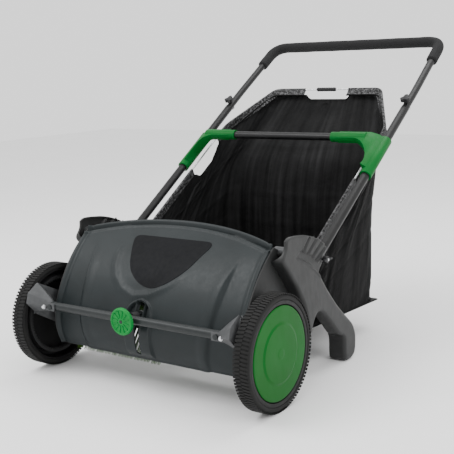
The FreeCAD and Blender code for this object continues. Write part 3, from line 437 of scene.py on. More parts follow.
COVER = Moulded("cover_grey", "cover_plastic", (0.0125, 0.0160, 0.0168), (0.0170, 0.0212, 0.0224), 0.36,
                gloss=0.16)
PANEL = Moulded("panel_dark", "cover_plastic", (0.0030, 0.0033, 0.0042), (0.0042, 0.0046, 0.0057), 0.5,
                2200.0, 0.00004, gloss=0.08)
BRACKET = Moulded("bracket_grey", "bracket_plastic", (0.019, 0.0195, 0.0195), (0.026, 0.0265, 0.0265), 0.42)
DRIVE = Moulded("drive_grey", "gear_plastic", (0.014, 0.014, 0.0145), (0.021, 0.021, 0.0215), 0.5)
RIM = Moulded("rim_black", "rim_plastic", (0.005, 0.005, 0.0053), (0.009, 0.0088, 0.009), 0.46)
DISC = Moulded("disc_green", "disc_plastic", (0.0, 0.070, 0.004), (0.0, 0.088, 0.008), 0.34, 1800.0, 0.00005,
               9.0, 0.1)
KNOB = Moulded("knob_green", "knob_plastic", (0.002, 0.165, 0.026), (0.006, 0.195, 0.038), 0.42, gloss=0.12)
CLAMP = Moulded("clamp_green", "green_plastic", (0.0, 0.092, 0.012), (0.0, 0.115, 0.018), 0.42, gloss=0.12)
BLACK_KNOB = Moulded("knob_black", "knob_black", (0.012, 0.012, 0.013), (0.022, 0.022, 0.023), 0.42)
TUBE = Metal("tube_black", "black_tube", (0.0045, 0.0045, 0.0048), (0.0075, 0.0075, 0.0078), 0.34, 0.0)
ARM = Metal("arm_grey", "black_tube", (0.058, 0.060, 0.062), (0.075, 0.077, 0.079), 0.46, 0.25)
BAR = Metal("bar_dark", "black_tube", (0.014, 0.0165, 0.017), (0.020, 0.0225, 0.023), 0.32, 0.2)
STEEL = Metal("bright_steel", "steel", (0.60, 0.61, 0.62), (0.44, 0.44, 0.45), 0.26)
WIRE = Metal("wire_steel", "wire", (0.66, 0.67, 0.68), (0.5, 0.5, 0.51), 0.24)
TYRE = Rubber("tyre_rubber", "tyre_rubber", (0.005, 0.005, 0.005), (0.012, 0.0118, 0.0112), 0.66)
FOAM = Rubber("grip_foam", "foam", (0.010, 0.010, 0.0105), (0.015, 0.015, 0.0155), 0.8, 1500.0, 0.00025)
# Painted shade: CLOTH darkens its outward faces to 0.06 of their tone, BOARD its underside to 0.6.
CLOTH = Woven("bag_cloth", "bag_cloth", (0.0011, 0.0011, 0.0012), (0.026, 0.026, 0.0265), shade=0.06)
BOARD = Woven("bag_board", "bag_board", (0.0022, 0.0022, 0.0022), (0.008, 0.008, 0.008), 0.003, 0.0003, 0.6)
PIPING = Woven("bag_piping", "bag_cloth", (0.003, 0.003, 0.003), (0.012, 0.012, 0.012), 0.0012)
NET = Netting("sleeve_net", "bag_cloth", (0.12, 0.12, 0.123), (0.0018, 0.0018, 0.0018))
STITCH = Rubber("stitch_thread", "bag_cloth", (0.03, 0.03, 0.03), (0.05, 0.05, 0.05), 0.7, 2400.0, 0.0001)
BRISTLE = Filament("bristle_green", "bristle", (0.003, 0.012, 0.002), (0.055, 0.15, 0.005), 26.0, 104.0)

ALL_FINISHES: tuple[Finish, ...] = (
    COVER, PANEL, BRACKET, DRIVE, RIM, DISC, KNOB, CLAMP, BLACK_KNOB, TUBE, ARM, BAR, STEEL, WIRE,
    TYRE, FOAM, CLOTH, BOARD, PIPING, NET, STITCH, BRISTLE)
MADE: dict[str, bpy.types.Material] = {finish.name: finish.material() for finish in ALL_FINISHES}

# ---------------------------------------------------------------- meshes


def new_object(name: str, points: Sequence[Vector], faces: Sequence[Sequence[int]],
               edges: Sequence[Sequence[int]] = ()) -> bpy.types.Object:
    """Makes an object at the origin from places in metres.

    Args:
        name: the object's name.
        points: its corners.
        faces: corner numbers, face by face.
        edges: corner numbers of loose edges.

    Returns:
        The object, in the scene.
    """
    mesh = bpy.data.meshes.new(name)
    mesh.from_pydata([tuple(point) for point in points], list(edges), list(faces))
    made = bpy.data.objects.new(name, mesh)
    bpy.context.scene.collection.objects.link(made)
    return made


def remesh(made: bpy.types.Object, work: Callable[[bmesh.types.BMesh], None]) -> None:
    """Edits an object's mesh with a function on its bmesh."""
    shape = bmesh.new()
    shape.from_mesh(made.data)
    work(shape)
    shape.to_mesh(made.data)
    shape.free()


def outward(made: bpy.types.Object) -> None:
    """Merges doubles and turns all faces outwards."""
    def work(shape: bmesh.types.BMesh) -> None:
        """Merges, then recalculates."""
        bmesh.ops.remove_doubles(shape, verts=shape.verts, dist=1e-6)
        bmesh.ops.recalc_face_normals(shape, faces=shape.faces)
    remesh(made, work)


def smooth(made: bpy.types.Object, degrees: float = 35.0) -> None:
    """Shades smoothly, with edges sharper than degrees kept crisp."""
    made.data.shade_smooth()
    made.data.set_sharp_from_angle(angle=math.radians(degrees))


def fixed(made: bpy.types.Object) -> None:
    """Applies every modifier."""
    graph = bpy.context.evaluated_depsgraph_get()
    mesh = bpy.data.meshes.new_from_object(made.evaluated_get(graph))
    mesh.name = made.name
    made.modifiers.clear()
    made.data = mesh


def thicken(made: bpy.types.Object, depth: float, degrees: float, offset: float = -1.0) -> None:
    """Gives a skin a wall of depth millimetres, then shades it."""
    wall = made.modifiers.new("wall", "SOLIDIFY")
    wall.thickness = depth * MM
    wall.offset = offset
    fixed(made)
    smooth(made, degrees)


def turn_skin(made: bpy.types.Object, towards: Vector) -> None:
    """Drops loose corners and turns a skin so that its face furthest towards a side looks that way."""
    def work(shape: bmesh.types.BMesh) -> None:
        """Drops, then turns."""
        loose = [vertex for vertex in shape.verts if not vertex.link_faces]
        bmesh.ops.delete(shape, geom=loose, context="VERTS")
        bmesh.ops.recalc_face_normals(shape, faces=shape.faces)
        lead = max(shape.faces, key=lambda face: face.calc_center_median().dot(towards))
        if lead.normal.dot(towards) < 0:
            bmesh.ops.reverse_faces(shape, faces=shape.faces)
    remesh(made, work)


def chamfered(made: bpy.types.Object, width: float) -> None:
    """Eases every edge with one flat face, width millimetres wide."""
    remesh(made, lambda shape: bmesh.ops.bevel(shape, geom=shape.edges[:], offset=width * MM, segments=1,
                                               affect="EDGES", profile=0.5))


def lofted(name: str, points: Sequence[Vector], count: int) -> bpy.types.Object:
    """A closed piece through outlines of count corners each, given one after another."""
    last = len(points) - count
    faces = [tuple(range(count)), tuple(range(last, len(points)))]
    faces += [(base + step, base + (step + 1) % count, base + count + (step + 1) % count, base + count + step)
              for base in range(0, last, count) for step in range(count)]
    made = new_object(name, points, faces)
    outward(made)
    return made


def settle(made: bpy.types.Object, finish: Finish, body: str, replaces: Sequence[str] = ()) -> bpy.types.Object:
    """Dresses a finished piece and hangs it on its body.

    Args:
        made: the piece.
        finish: its finish.
        body: the body it rides on.
        replaces: the nodes it stands for.

    Returns:
        The piece.
    """
    made.data.materials.clear()
    made.data.materials.append(MADE[finish.name])
    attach(made, body)
    if replaces:
        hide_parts(*replaces)
    LOG.info("%s: %d faces on %s", made.name, len(made.data.polygons), body)
    return made


def dress(finish: Finish, *nodes: str) -> None:
    """Gives carried-over nodes a finish."""
    for name in nodes:
        node = FRAME["nodes"][name]
        if not node.material_slots:
            node.data.materials.append(None)
        for slot in node.material_slots:
            slot.material = MADE[finish.name]


def rounded(points: Sequence[Flat], reach: float, steps: int = 4, closed: bool = True) -> list[Flat]:
    """Rounds the corners of an outline.

    Args:
        points: the corners.
        reach: how far from a corner its curve starts, at most.
        steps: points on each curve.
        closed: whether the last point joins the first.

    Returns:
        The rounded outline.
    """
    count = len(points)
    made: list[Flat] = []
    for index, corner in enumerate(points):
        if not closed and index in (0, count - 1):
            made.append(corner)
            continue
        here = Vector(corner)
        before = Vector(points[index - 1]) - here
        after = Vector(points[(index + 1) % count]) - here
        start = here + before.normalized() * min(reach, before.length * 0.45)
        end = here + after.normalized() * min(reach, after.length * 0.45)
        for step in range(steps + 1):
            share = step / steps
            bend = start * (1 - share) ** 2 + here * 2 * share * (1 - share) + end * share ** 2
            made.append((bend.x, bend.y))
    return made


def travelled(marks: np.ndarray) -> np.ndarray:
    """Distance along a run of places, from 0 at the first."""
    return np.concatenate(([0.0], np.cumsum(np.linalg.norm(np.diff(marks, axis=0), axis=1))))


def evenly(points: Sequence[Sequence[float]], count: int) -> np.ndarray:
    """Evenly spaced places on a run of straight pieces."""
    marks = np.array(points, float)
    distance = travelled(marks)
    spots = np.linspace(0, distance[-1], count)
    return np.stack([np.interp(spots, distance, marks[:, axis]) for axis in range(marks.shape[1])], axis=1)


def apart(places: np.ndarray, line: np.ndarray) -> np.ndarray:
    """Distance of each flat place to a closed line."""
    start = line
    step = np.roll(line, -1, axis=0) - line
    away = places[:, None, :] - start[None, :, :]
    share = np.clip((away * step).sum(axis=2) / ((step * step).sum(axis=1) + 1e-12), 0.0, 1.0)
    return np.linalg.norm(away - share[:, :, None] * step[None, :, :], axis=2).min(axis=1)


def turned(name: str, profile: Sequence[Flat], back: float, side: Side, closed: bool = True,
           soft: float = 1.2, segments: int = 144) -> bpy.types.Object:
    """A piece turned about a line across the machine at axle height.

    Args:
        name: the object's name.
        profile: its half section, (across, radius) in millimetres, drawn for the right side.
        back: how far behind the axle the line lies.
        side: the side it is made for.
        closed: whether the section is a closed ring.
        soft: the rounding at its corners.
        segments: faces round it.

    Returns:
        The object.
    """
    section = rounded(profile, soft, 3, closed)
    points, faces = [], []
    for turn in range(segments):
        angle = 2 * math.pi * turn / segments
        for across, radius in section:
            points.append(at(side.value * across, back + radius * math.cos(angle),
                             AXLE_HEIGHT + radius * math.sin(angle)))
    size = len(section)
    for turn in range(segments):
        here, after = turn * size, ((turn + 1) % segments) * size
        for index in range(size if closed else size - 1):
            following = (index + 1) % size
            faces.append((here + index, here + following, after + following, after + index))
    made = new_object(name, points, faces)
    outward(made)
    smooth(made, 40.0)
    return made


def swept(name: str, path: Sequence[Vector], section: Sequence[Flat], up: "Vector | Sequence[Vector]",
          ends: bool = True, swell: Optional[Callable[[float, float], float]] = None) -> bpy.types.Object:
    """A section carried along a path.

    Args:
        name: the object's name.
        path: places in metres.
        section: the closed section in millimetres, (sideways, upwards).
        up: roughly where the section's upwards points, once or for each place.
        ends: whether the ends are filled.
        swell: scale of the section from (distance along, share along), when it changes.

    Returns:
        The object, with UVs in metres along and round it.
    """
    points, faces, lengths = [], [], [0.0]
    for first, second in zip(path, path[1:]):
        lengths.append(lengths[-1] + (second - first).length)
    for index, place in enumerate(path):
        ahead = (path[min(index + 1, len(path) - 1)] - path[max(index - 1, 0)]).normalized()
        sideways = ahead.cross(up if isinstance(up, Vector) else up[index]).normalized()
        upwards = sideways.cross(ahead)
        size = swell(lengths[index], lengths[index] / lengths[-1]) if swell else 1.0
        for across, rise in section:
            points.append(place + sideways * across * MM * size + upwards * rise * MM * size)
    count = len(section)
    for index in range(len(path) - 1):
        for corner in range(count):
            following = (corner + 1) % count
            faces.append((index * count + corner, index * count + following,
                          (index + 1) * count + following, (index + 1) * count + corner))
    if ends:
        faces.append(tuple(range(count)))
        faces.append(tuple(reversed(range(len(points) - count, len(points)))))
    made = new_object(name, points, faces)
    layer = made.data.uv_layers.new(name="along")
    round_it = [0.0]
    for first, second in zip(section, list(section[1:]) + [section[0]]):
        round_it.append(round_it[-1] + math.dist(first, second) * MM)
    for face in made.data.polygons:
        for loop, vertex in zip(face.loop_indices, face.vertices):
            layer.data[loop].uv = (lengths[vertex // count], round_it[vertex % count])
    remesh(made, lambda shape: bmesh.ops.recalc_face_normals(shape, faces=shape.faces))
    smooth(made, 45.0)
    return made


def ring(radius: float, count: int = 24) -> list[Flat]:
    """A circle as a section."""
    return [(radius * math.cos(2 * math.pi * step / count), radius * math.sin(2 * math.pi * step / count))
            for step in range(count)]


def ease_edges(made: bpy.types.Object, width: float, segments: int, degrees: float) -> None:
    """Rounds the edges sharper than degrees, width in millimetres."""
    ease = made.modifiers.new("ease", "BEVEL")
    ease.width = width * MM
    ease.segments = segments
    ease.limit_method = "ANGLE"
    ease.angle_limit = math.radians(degrees)
    ease.harden_normals = False
    fixed(made)


def softened(node: str, name: str, width: float, finish: Finish, body: str,
             segments: int = 2) -> bpy.types.Object:
    """A node's own shape with its edges eased.

    Args:
        node: the node.
        name: the new piece's name.
        width: how wide the eased edges are, in millimetres.
        finish: the finish.
        body: the body it rides on.
        segments: faces across an eased edge.

    Returns:
        The piece, standing for the node.
    """
    made = bpy.data.objects.new(name, FRAME["nodes"][node].data.copy())
    bpy.context.scene.collection.objects.link(made)
    made.data.name = name

    def work(shape: bmesh.types.BMesh) -> None:
        """Merges the loose triangles into flat faces."""
        bmesh.ops.remove_doubles(shape, verts=shape.verts, dist=2e-6)
        bmesh.ops.dissolve_limit(shape, angle_limit=math.radians(0.6), verts=shape.verts, edges=shape.edges)
    remesh(made, work)
    ease_edges(made, width, segments, 32.0)
    smooth(made, 38.0)
    return settle(made, finish, body, [node])


# ---------------------------------------------------------------- repeated items


class Tree:
    """A geometry tree with named inputs."""

    def __init__(self, name: str) -> None:
        """Starts a tree with a geometry input and output."""
        self.tree = bpy.data.node_groups.new(name, "GeometryNodeTree")
        self.ids: dict[str, str] = {}
        self.take(Geometry="Geometry")
        self.tree.interface.new_socket(name="Geometry", in_out="OUTPUT", socket_type="NodeSocketGeometry")

    def take(self, **kinds: str) -> None:
        """Adds inputs by name, each with its kind of socket."""
        for name, kind in kinds.items():
            made = self.tree.interface.new_socket(name=name, in_out="INPUT", socket_type="NodeSocket" + kind)
            self.ids[name] = made.identifier

    def start(self) -> None:
        """Adds the group's input and output nodes, once its inputs are known."""
        self.source = self.tree.nodes.new("NodeGroupInput")
        self.result = self.tree.nodes.new("NodeGroupOutput")

    def given(self, name: str) -> bpy.types.NodeSocket:
        """The group input with that name."""
        return self.source.outputs[name]

    def node(self, kind: str, wires: Optional[dict] = None, **options: object) -> bpy.types.Node:
        """Adds a node.

        Args:
            kind: the node's type.
            wires: inputs by name or number: another socket, or a value.
            options: the node's own settings.

        Returns:
            The node.
        """
        made = self.tree.nodes.new(kind)
        for name, value in options.items():
            setattr(made, name, value)
        for name, value in (wires or {}).items():
            if isinstance(value, bpy.types.NodeSocket):
                self.tree.links.new(value, made.inputs[name])
            else:
                made.inputs[name].default_value = value
        return made

    def maths(self, operation: str, first: object, second: object) -> bpy.types.NodeSocket:
        """A sum on two values or sockets."""
        return self.node("ShaderNodeMath", {0: first, 1: second}, operation=operation).outputs[0]

    def vector(self, **parts: object) -> bpy.types.NodeSocket:
        """A vector from its X, Y and Z."""
        return self.node("ShaderNodeCombineXYZ", parts).outputs[0]

    def total(self, first: object, second: object) -> bpy.types.NodeSocket:
        """Two vectors added."""
        return self.node("ShaderNodeVectorMath", {0: first, 1: second}, operation="ADD").outputs[0]

    def copies(self, points: bpy.types.Node, rotation: bpy.types.NodeSocket) -> bpy.types.NodeSocket:
        """The item on each point, turned by rotation."""
        item = self.node("GeometryNodeObjectInfo", {"Object": self.given("Item")}, transform_space="ORIGINAL")
        placed = self.node("GeometryNodeInstanceOnPoints", {
            "Points": points.outputs[0], "Instance": item.outputs["Geometry"], "Rotation": rotation})
        return placed.outputs[0]

    def end(self, instances: bpy.types.NodeSocket) -> None:
        """Realizes the copies and gives them their material."""
        real = self.node("GeometryNodeRealizeInstances", {"Geometry": instances})
        dressed = self.node("GeometryNodeSetMaterial",
                            {"Geometry": real.outputs[0], "Material": self.given("Material")})
        self.tree.links.new(dressed.outputs[0], self.result.inputs[0])

    def grow(self, base: bpy.types.Object, values: dict[str, object]) -> bpy.types.Object:
        """Runs the tree on an object and keeps the result as its plain mesh.

        Args:
            base: the object to build on.
            values: the inputs by name.

        Returns:
            The same object.
        """
        modifier = base.modifiers.new("grow", "NODES")
        modifier.node_group = self.tree
        for name, value in values.items():
            modifier[self.ids[name]] = value
        fixed(base)
        return base


class RingTree(Tree):
    """Copies of an item round a line across the machine; the item's +Y points outwards."""

    def __init__(self) -> None:
        """Builds the tree."""
        super().__init__("round_a_line")
        self.take(Item="Object", Count="Int", Radius="Float", Phase="Float", Centre="Vector",
                  Material="Material")
        self.start()
        index = self.node("GeometryNodeInputIndex").outputs[0]
        angle = self.maths("ADD", self.maths("DIVIDE", self.maths("MULTIPLY", index, 2 * math.pi),
                                             self.given("Count")), self.given("Phase"))
        y = self.maths("MULTIPLY", self.maths("COSINE", angle, 0.0), self.given("Radius"))
        z = self.maths("MULTIPLY", self.maths("SINE", angle, 0.0), self.given("Radius"))
        place = self.total(self.vector(Y=y, Z=z), self.given("Centre"))
        points = self.node("GeometryNodePoints", {"Count": self.given("Count"), "Position": place})
        self.end(self.copies(points, self.vector(X=angle)))


class RowTree(Tree):
    """Copies of an item along a path; the item's +X follows the path."""

    def __init__(self) -> None:
        """Builds the tree."""
        super().__init__("along_a_path")
        self.take(Item="Object", Pitch="Float", Tilt="Float", Scatter="Float", Seed="Int",
                  Material="Material")
        self.start()
        curve = self.node("GeometryNodeMeshToCurve", {"Mesh": self.given("Geometry")})
        spots = self.node("GeometryNodeResampleCurve",
                          {"Curve": curve.outputs[0], "Length": self.given("Pitch")}, mode="LENGTH")
        tangent = self.node("GeometryNodeInputTangent").outputs[0]
        aligned = self.node("FunctionNodeAlignRotationToVector", {"Vector": tangent}, axis="X").outputs[0]
        most = self.given("Scatter")
        least = self.maths("MULTIPLY", most, -1.0)
        spread = self.node("FunctionNodeRandomValue", {
            "Min": self.vector(X=least, Y=least), "Max": self.vector(X=most, Y=most),
            "Seed": self.given("Seed")}, data_type="FLOAT_VECTOR").outputs[0]
        tilted = self.total(spread, self.vector(X=self.given("Tilt")))
        extra = self.node("FunctionNodeEulerToRotation", {0: tilted}).outputs[0]
        turn = self.node("FunctionNodeRotateRotation", {0: aligned, 1: extra}, rotation_space="LOCAL")
        self.end(self.copies(spots, turn.outputs[0]))


RINGS = RingTree()
ROWS = RowTree()


def ring_of(name: str, item: bpy.types.Object, count: int, radius: float, centre: Vector, finish: Finish,
            phase: float = 0.0) -> bpy.types.Object:
    """Copies an item round a line across the machine; radius in millimetres."""
    base = new_object(name, [centre], [])
    RINGS.grow(base, {"Item": item, "Count": count, "Radius": radius * MM, "Phase": phase,
                      "Centre": tuple(centre), "Material": MADE[finish.name]})
    smooth(base)
    return base


def row_of(name: str, item: bpy.types.Object, path: Sequence[Vector], pitch: float, finish: Finish,
           tilt: float = 0.0, scatter: float = 0.0, seed: int = SEED) -> bpy.types.Object:
    """Copies an item along a path; pitch in millimetres."""
    base = new_object(name, path, [], [(index, index + 1) for index in range(len(path) - 1)])
    ROWS.grow(base, {"Item": item, "Pitch": pitch * MM, "Tilt": tilt, "Scatter": scatter, "Seed": seed,
                     "Material": MADE[finish.name]})
    smooth(base)
    return base


def block(name: str, size: Point, chamfer: float, taper: float = 1.0, skew: float = 0.0) -> bpy.types.Object:
    """A small chamfered block round the origin, to be copied.

    Args:
        name: the object's name.
        size: its sides in millimetres.
        chamfer: the width of its eased edges.
        taper: how wide its outer (+Y) end is against its inner one.
        skew: how far its +X end is moved along Z.

    Returns:
        The object.
    """
    half = [value / 2 for value in size]
    points, faces = [], ((0, 1, 3, 2), (4, 6, 7, 5), (0, 4, 5, 1), (2, 3, 7, 6), (0, 2, 6, 4), (1, 5, 7, 3))
    for x in (-1, 1):
        for y in (-1, 1):
            for z in (-1, 1):
                share = taper if y > 0 else 1.0
                points.append(Vector((x * half[0] * share * MM, y * half[1] * MM,
                                      (z * half[2] * share + (skew if x > 0 else -skew)) * MM)))
    made = new_object(name, points, faces)
    outward(made)
    chamfered(made, chamfer)
    return made


def discard(*items: bpy.types.Object) -> None:
    """Removes helper objects."""
    for item in items:
        bpy.data.objects.remove(item)


# ---------------------------------------------------------------- hood


# Height, and how far across the side folds lie there.
FOLD_LINE: tuple[Flat, ...] = (
    (70, 180), (103, 183), (150, 190), (192, 194), (225, 198), (262, 203), (292, 209), (316, 214))
# Places on the plain section: across, back and height.
RIDGE_LINE: tuple[Point, ...] = (
    (-134, 60, 314), (-128, 34, 290), (-120, 14, 266), (-104, -4, 243), (-76, -19, 222), (-38, -26, 209),
    (6, -22, 216), (48, -10, 236), (84, 8, 260), (116, 32, 289))
PANEL_CORNERS: tuple[Point, ...] = (
    (-112, 80, 329), (124, 80, 329), (88, 18, 273), (50, -4, 243), (8, -15, 227), (-36, -9, 236),
    (-74, 9, 262), (-100, 50, 305))
PANEL_SHARES = (0.0, 0.12, 0.25, 0.38, 0.5, 0.62, 0.74, 0.85, 0.94, 1.0)


@dataclass
class Hood:
    """The brush cover: a curved shell with a bowed rim, side folds, a blank panel and the height pocket."""

    half_width: float = 270.0
    wall: float = 3.0
    low_centre: Flat = (70.0, 130.0)
    low_radius: float = 119.0
    high_centre: Flat = (266.4, 58.5)
    high_radius: float = 328.0
    bottom_angle: float = 210.5
    turn_angle: float = 160.0
    rim_middle: float = 133.0
    rim_sag: float = 46.5
    pad_radius: float = 127.0
    pad_half: float = 38.0
    pad_top: float = 206.0
    slot_x: float = -8.0
    slot_half: float = 7.0
    slot_low: float = 84.0
    slot_high: float = 200.0
    fold_height: float = 7.0
    ridge_height: float = 3.2
    ridge_width: float = 9.0
    panel_proud: float = 0.9
    panel_depth: float = 0.8
    plain_top: float = 172.0
    fine_half: float = 57.0
    fine: float = 1.5
    coarse: float = 3.4

    def __post_init__(self) -> None:
        """Works out the length of the lower curve."""
        self.low_run = self.low_radius * math.radians(self.bottom_angle - self.turn_angle)

    def section(self, run: np.ndarray) -> tuple[np.ndarray, np.ndarray, np.ndarray, np.ndarray]:
        """The plain section.

        Args:
            run: millimetres up the section from its bottom edge.

        Returns:
            Back, height, and the outward direction's two parts.
        """
        low = run <= self.low_run
        low_turn = np.radians(self.bottom_angle) - run / self.low_radius
        high_turn = np.radians(self.turn_angle) - (run - self.low_run) / self.high_radius
        turn = np.where(low, low_turn, high_turn)
        radius = np.where(low, self.low_radius, self.high_radius)
        back = np.where(low, self.low_centre[0], self.high_centre[0]) + radius * np.cos(turn)
        height = np.where(low, self.low_centre[1], self.high_centre[1]) + radius * np.sin(turn)
        return back, height, np.cos(turn), np.sin(turn)

    def run_of(self, back: float, height: float) -> float:
        """Millimetres up the section at a place on it."""
        angle = math.degrees(math.atan2(height - self.low_centre[1], back - self.low_centre[0])) % 360
        if angle >= self.turn_angle:
            return math.radians(self.bottom_angle - angle) * self.low_radius
        angle = math.degrees(math.atan2(height - self.high_centre[1], back - self.high_centre[0]))
        return self.low_run + math.radians(self.turn_angle - angle) * self.high_radius

    def rim_run(self, across: np.ndarray) -> np.ndarray:
        """Where the rim is, up the section."""
        back = self.rim_middle - self.rim_sag * (across / self.half_width) ** 2
        angle = np.degrees(np.arccos((back - self.high_centre[0]) / self.high_radius))
        return self.low_run + np.radians(self.turn_angle - angle) * self.high_radius

    def folds(self, across: np.ndarray, height: np.ndarray) -> np.ndarray:
        """The raised middle, its side folds fading at both ends."""
        levels, lines = zip(*FOLD_LINE)
        inside = np.interp(height, levels, lines) - np.abs(across)
        strength = smooth_step(height, 318.0, 236.0) * (0.35 + 0.65 * smooth_step(height, 72.0, 120.0))
        crown = smooth_step(inside, -1.5, 6.0)
        lift = bump(inside, -3.0, 34.0)
        return self.fold_height * strength * (crown - 0.45) + 1.6 * strength * lift

    def ridge(self, across: np.ndarray, run: np.ndarray) -> np.ndarray:
        """The raised band that runs round the panel's lower edge."""
        line = np.array(RIDGE_LINE, float)
        runs = np.array([self.run_of(back, height) for _, back, height in line])
        steps = np.linspace(0, len(line) - 1, 60)
        line_x = np.interp(steps, range(len(line)), line[:, 0])
        line_run = np.interp(steps, range(len(line)), runs)
        nearest = np.full(across.shape, 1e6)
        share = np.zeros(across.shape)
        for index, (x, level) in enumerate(zip(line_x, line_run)):
            distance = np.hypot(across - x, run - level)
            share = np.where(distance < nearest, index / (len(line_x) - 1), share)
            nearest = np.minimum(nearest, distance)
        strength = smooth_step(share, 0.0, 0.12) * (1 - smooth_step(share, 0.62, 1.0))
        return self.ridge_height * strength * np.exp(-(nearest / self.ridge_width) ** 2)

    def pocket(self, across: np.ndarray, back: np.ndarray,
               height: np.ndarray) -> tuple[np.ndarray, np.ndarray]:
        """The height pocket.

        Args:
            across, back, height: places on the plain section.

        Returns:
            The pad's displacement, and how much it takes over from the rest, 0 to 1.
        """
        def arch(half: float, top: float) -> np.ndarray:
            """Distance outside an arch of that half width and top."""
            above = height - (top - half)
            return np.where(above > 0, np.hypot(across, above), np.abs(across)) - half
        across = across - self.slot_x
        raised = self.pad_radius - np.hypot(back - BRUSH_BACK, height - AXLE_HEIGHT)
        outer = arch(self.pad_half, self.pad_top)
        cover = smooth_step(-outer, -3.0, 3.0) * smooth_step(height, 72.0, 96.0)
        lip = bump(outer, -6.5, 2.5) * smooth_step(height, 118.0, 176.0)
        basin = smooth_step(-outer, 4.5, 8.0) * smooth_step(height, 140.0, 168.0)
        inner = arch(self.slot_half + 1.5, self.slot_high + 1.5)
        collar = bump(inner, -1.0, 9.0) * smooth_step(height, 128.0, 170.0)
        return raised + 3.2 * lip - 8.0 * basin + 9.0 * collar * (0.3 + 0.7 * basin), cover

    def displaced(self, across: np.ndarray, run: np.ndarray) -> np.ndarray:
        """How far the skin stands off the plain section."""
        back, height, _, _ = self.section(run)
        to_rim = self.rim_run(across) - run
        to_side = self.half_width - np.abs(across)
        rest = self.folds(across, height) + self.ridge(across, run)
        rest = rest * smooth_step(to_rim, 8.0, 30.0)
        for off, height_there, low, high in (
                (to_rim, 4.4, -8.0, 9.0), (to_rim, -5.0, 6.0, 17.0), (to_rim, 2.6, 14.0, 28.0),
                (to_side, 3.0, -8.0, 9.0), (to_side, -2.0, 7.0, 17.0), (run, 1.2, -4.0, 7.0)):
            rest = rest + height_there * bump(off, low, high)
        pad, cover = self.pocket(across, back, height)
        return rest * (1 - cover) + pad * cover

    def skin(self, across: np.ndarray, run: np.ndarray, proud: float = 0.0) -> list[Vector]:
        """Places on the finished skin.

        Args:
            across, run: where on the skin.
            proud: millimetres above it.

        Returns:
            The places in metres.
        """
        back, height, out_back, out_up = self.section(run)
        off = self.displaced(across, run) + proud
        return [at(x, y, z) for x, y, z in zip(across.ravel(), (back + off * out_back).ravel(),
                                              (height + off * out_up).ravel())]

    def build_shell(self) -> None:
        """Makes the cover itself."""
        narrow = np.arange(-self.fine_half, self.fine_half + 0.01, self.fine)
        wide_run = self.half_width - self.fine_half
        wide = np.linspace(self.fine_half, self.half_width, int(wide_run / self.coarse))[1:]
        columns = np.concatenate((-wide[::-1], narrow, wide))
        top = self.plain_top
        middle = float(self.rim_run(np.array([0.0]))[0])
        rows = np.concatenate((np.arange(0.0, top, self.fine * 1.15),
                               np.linspace(top, middle, int((middle - top) / self.coarse * 1.25))))
        across, base = np.meshgrid(columns, rows)
        share = np.clip((base - top) / (middle - top), 0, 1)
        run = np.where(base <= top, base, top + share * (self.rim_run(across) - top))
        _, height, _, _ = self.section(run)
        points = self.skin(across, run)
        wide_count = len(columns)
        faces = []
        mid_level = (self.slot_low + self.slot_half, self.slot_high - self.slot_half)
        for row in range(len(rows) - 1):
            for column in range(wide_count - 1):
                x = (columns[column] + columns[column + 1]) / 2
                z = height[row, column]
                beyond = max(mid_level[0] - z, z - mid_level[1], 0.0)
                if math.hypot(x - self.slot_x, beyond) < self.slot_half:
                    continue
                first = row * wide_count + column
                faces.append((first, first + 1, first + wide_count + 1, first + wide_count))
        made = new_object("hood_cover", points, faces)
        turn_skin(made, FORWARD)
        thicken(made, self.wall, 50.0)
        settle(made, COVER, "chassis", ["hood_shell"])

    def build_panel(self) -> None:
        """Makes the blank dark panel stuck on the cover."""
        flat = [(x, self.run_of(back, height)) for x, back, height in PANEL_CORNERS]
        outline = rounded(flat, 26.0, 8)
        middle = np.mean(np.array(outline), axis=0)
        spots = [middle] + [middle + (np.array(point) - middle) * share
                            for share in PANEL_SHARES[1:] for point in outline]
        spots_x = np.array([spot[0] for spot in spots])
        spots_run = np.array([spot[1] for spot in spots])
        points = self.skin(spots_x, spots_run, self.panel_proud)
        count = len(outline)
        faces = [(0, 1 + index, 1 + (index + 1) % count) for index in range(count)]
        for level in range(len(PANEL_SHARES) - 2):
            inner, outer = 1 + level * count, 1 + (level + 1) * count
            faces += [(inner + index, outer + index, outer + (index + 1) % count, inner + (index + 1) % count)
                      for index in range(count)]
        made = new_object("cover_panel", points, faces)
        turn_skin(made, FORWARD)
        thicken(made, self.panel_depth, 40.0)
        settle(made, PANEL, "chassis")

    def build(self) -> None:
        """Makes the whole cover."""
        self.build_shell()
        self.build_panel()


# ---------------------------------------------------------------- brackets and end plates


LEG_LINE: tuple[Flat, ...] = (
    (85, 346), (96, 353), (122, 352), (165, 347), (199, 338), (233, 325), (256, 310), (274, 294),
    (256, 272), (229, 246), (265, 202), (314, 151), (351, 120), (388, 90), (404, 62), (404, 26), (397, 8),
    (380, 0), (359, 0), (347, 5), (343, 16), (343, 67), (317, 76), (262, 131), (236, 154), (219, 157),
    (205, 146), (176, 96), (171, 130), (160, 183), (128, 233), (87, 282), (64, 305), (84, 328))
FOOT_LINE: tuple[Flat, ...] = LEG_LINE[14:21] + ((343, 66), (397, 72))
LIP_LINE: tuple[Flat, ...] = (
    (-26.0, 92.0), (-22.0, 80.0), (0.3, 48.5), (13.0, 20.0), (24.0, -7.0), (31.0, -30.0))
LEG_FRONT = 60.0
# Each grid of the leg's face: its pitch, lowest and highest level, rear limit and margin to the edge.
LEG_GRIDS = ((5.5, 0.0, 236.0, 410.0, 11.5), (2.1, 236.0, 356.0, 280.0, 10.4))
# Each groove of the dome: where it starts and ends, as run and rise on the handle's plane.
GROOVES: tuple[tuple[float, float, float, float], ...] = (
    (4.4, 78.8, 43.0, 88.2), (13.4, 61.1, 63.6, 62.9), (21.2, 41.2, 75.4, 39.5), (30.5, 22.8, 83.9, 19.0))


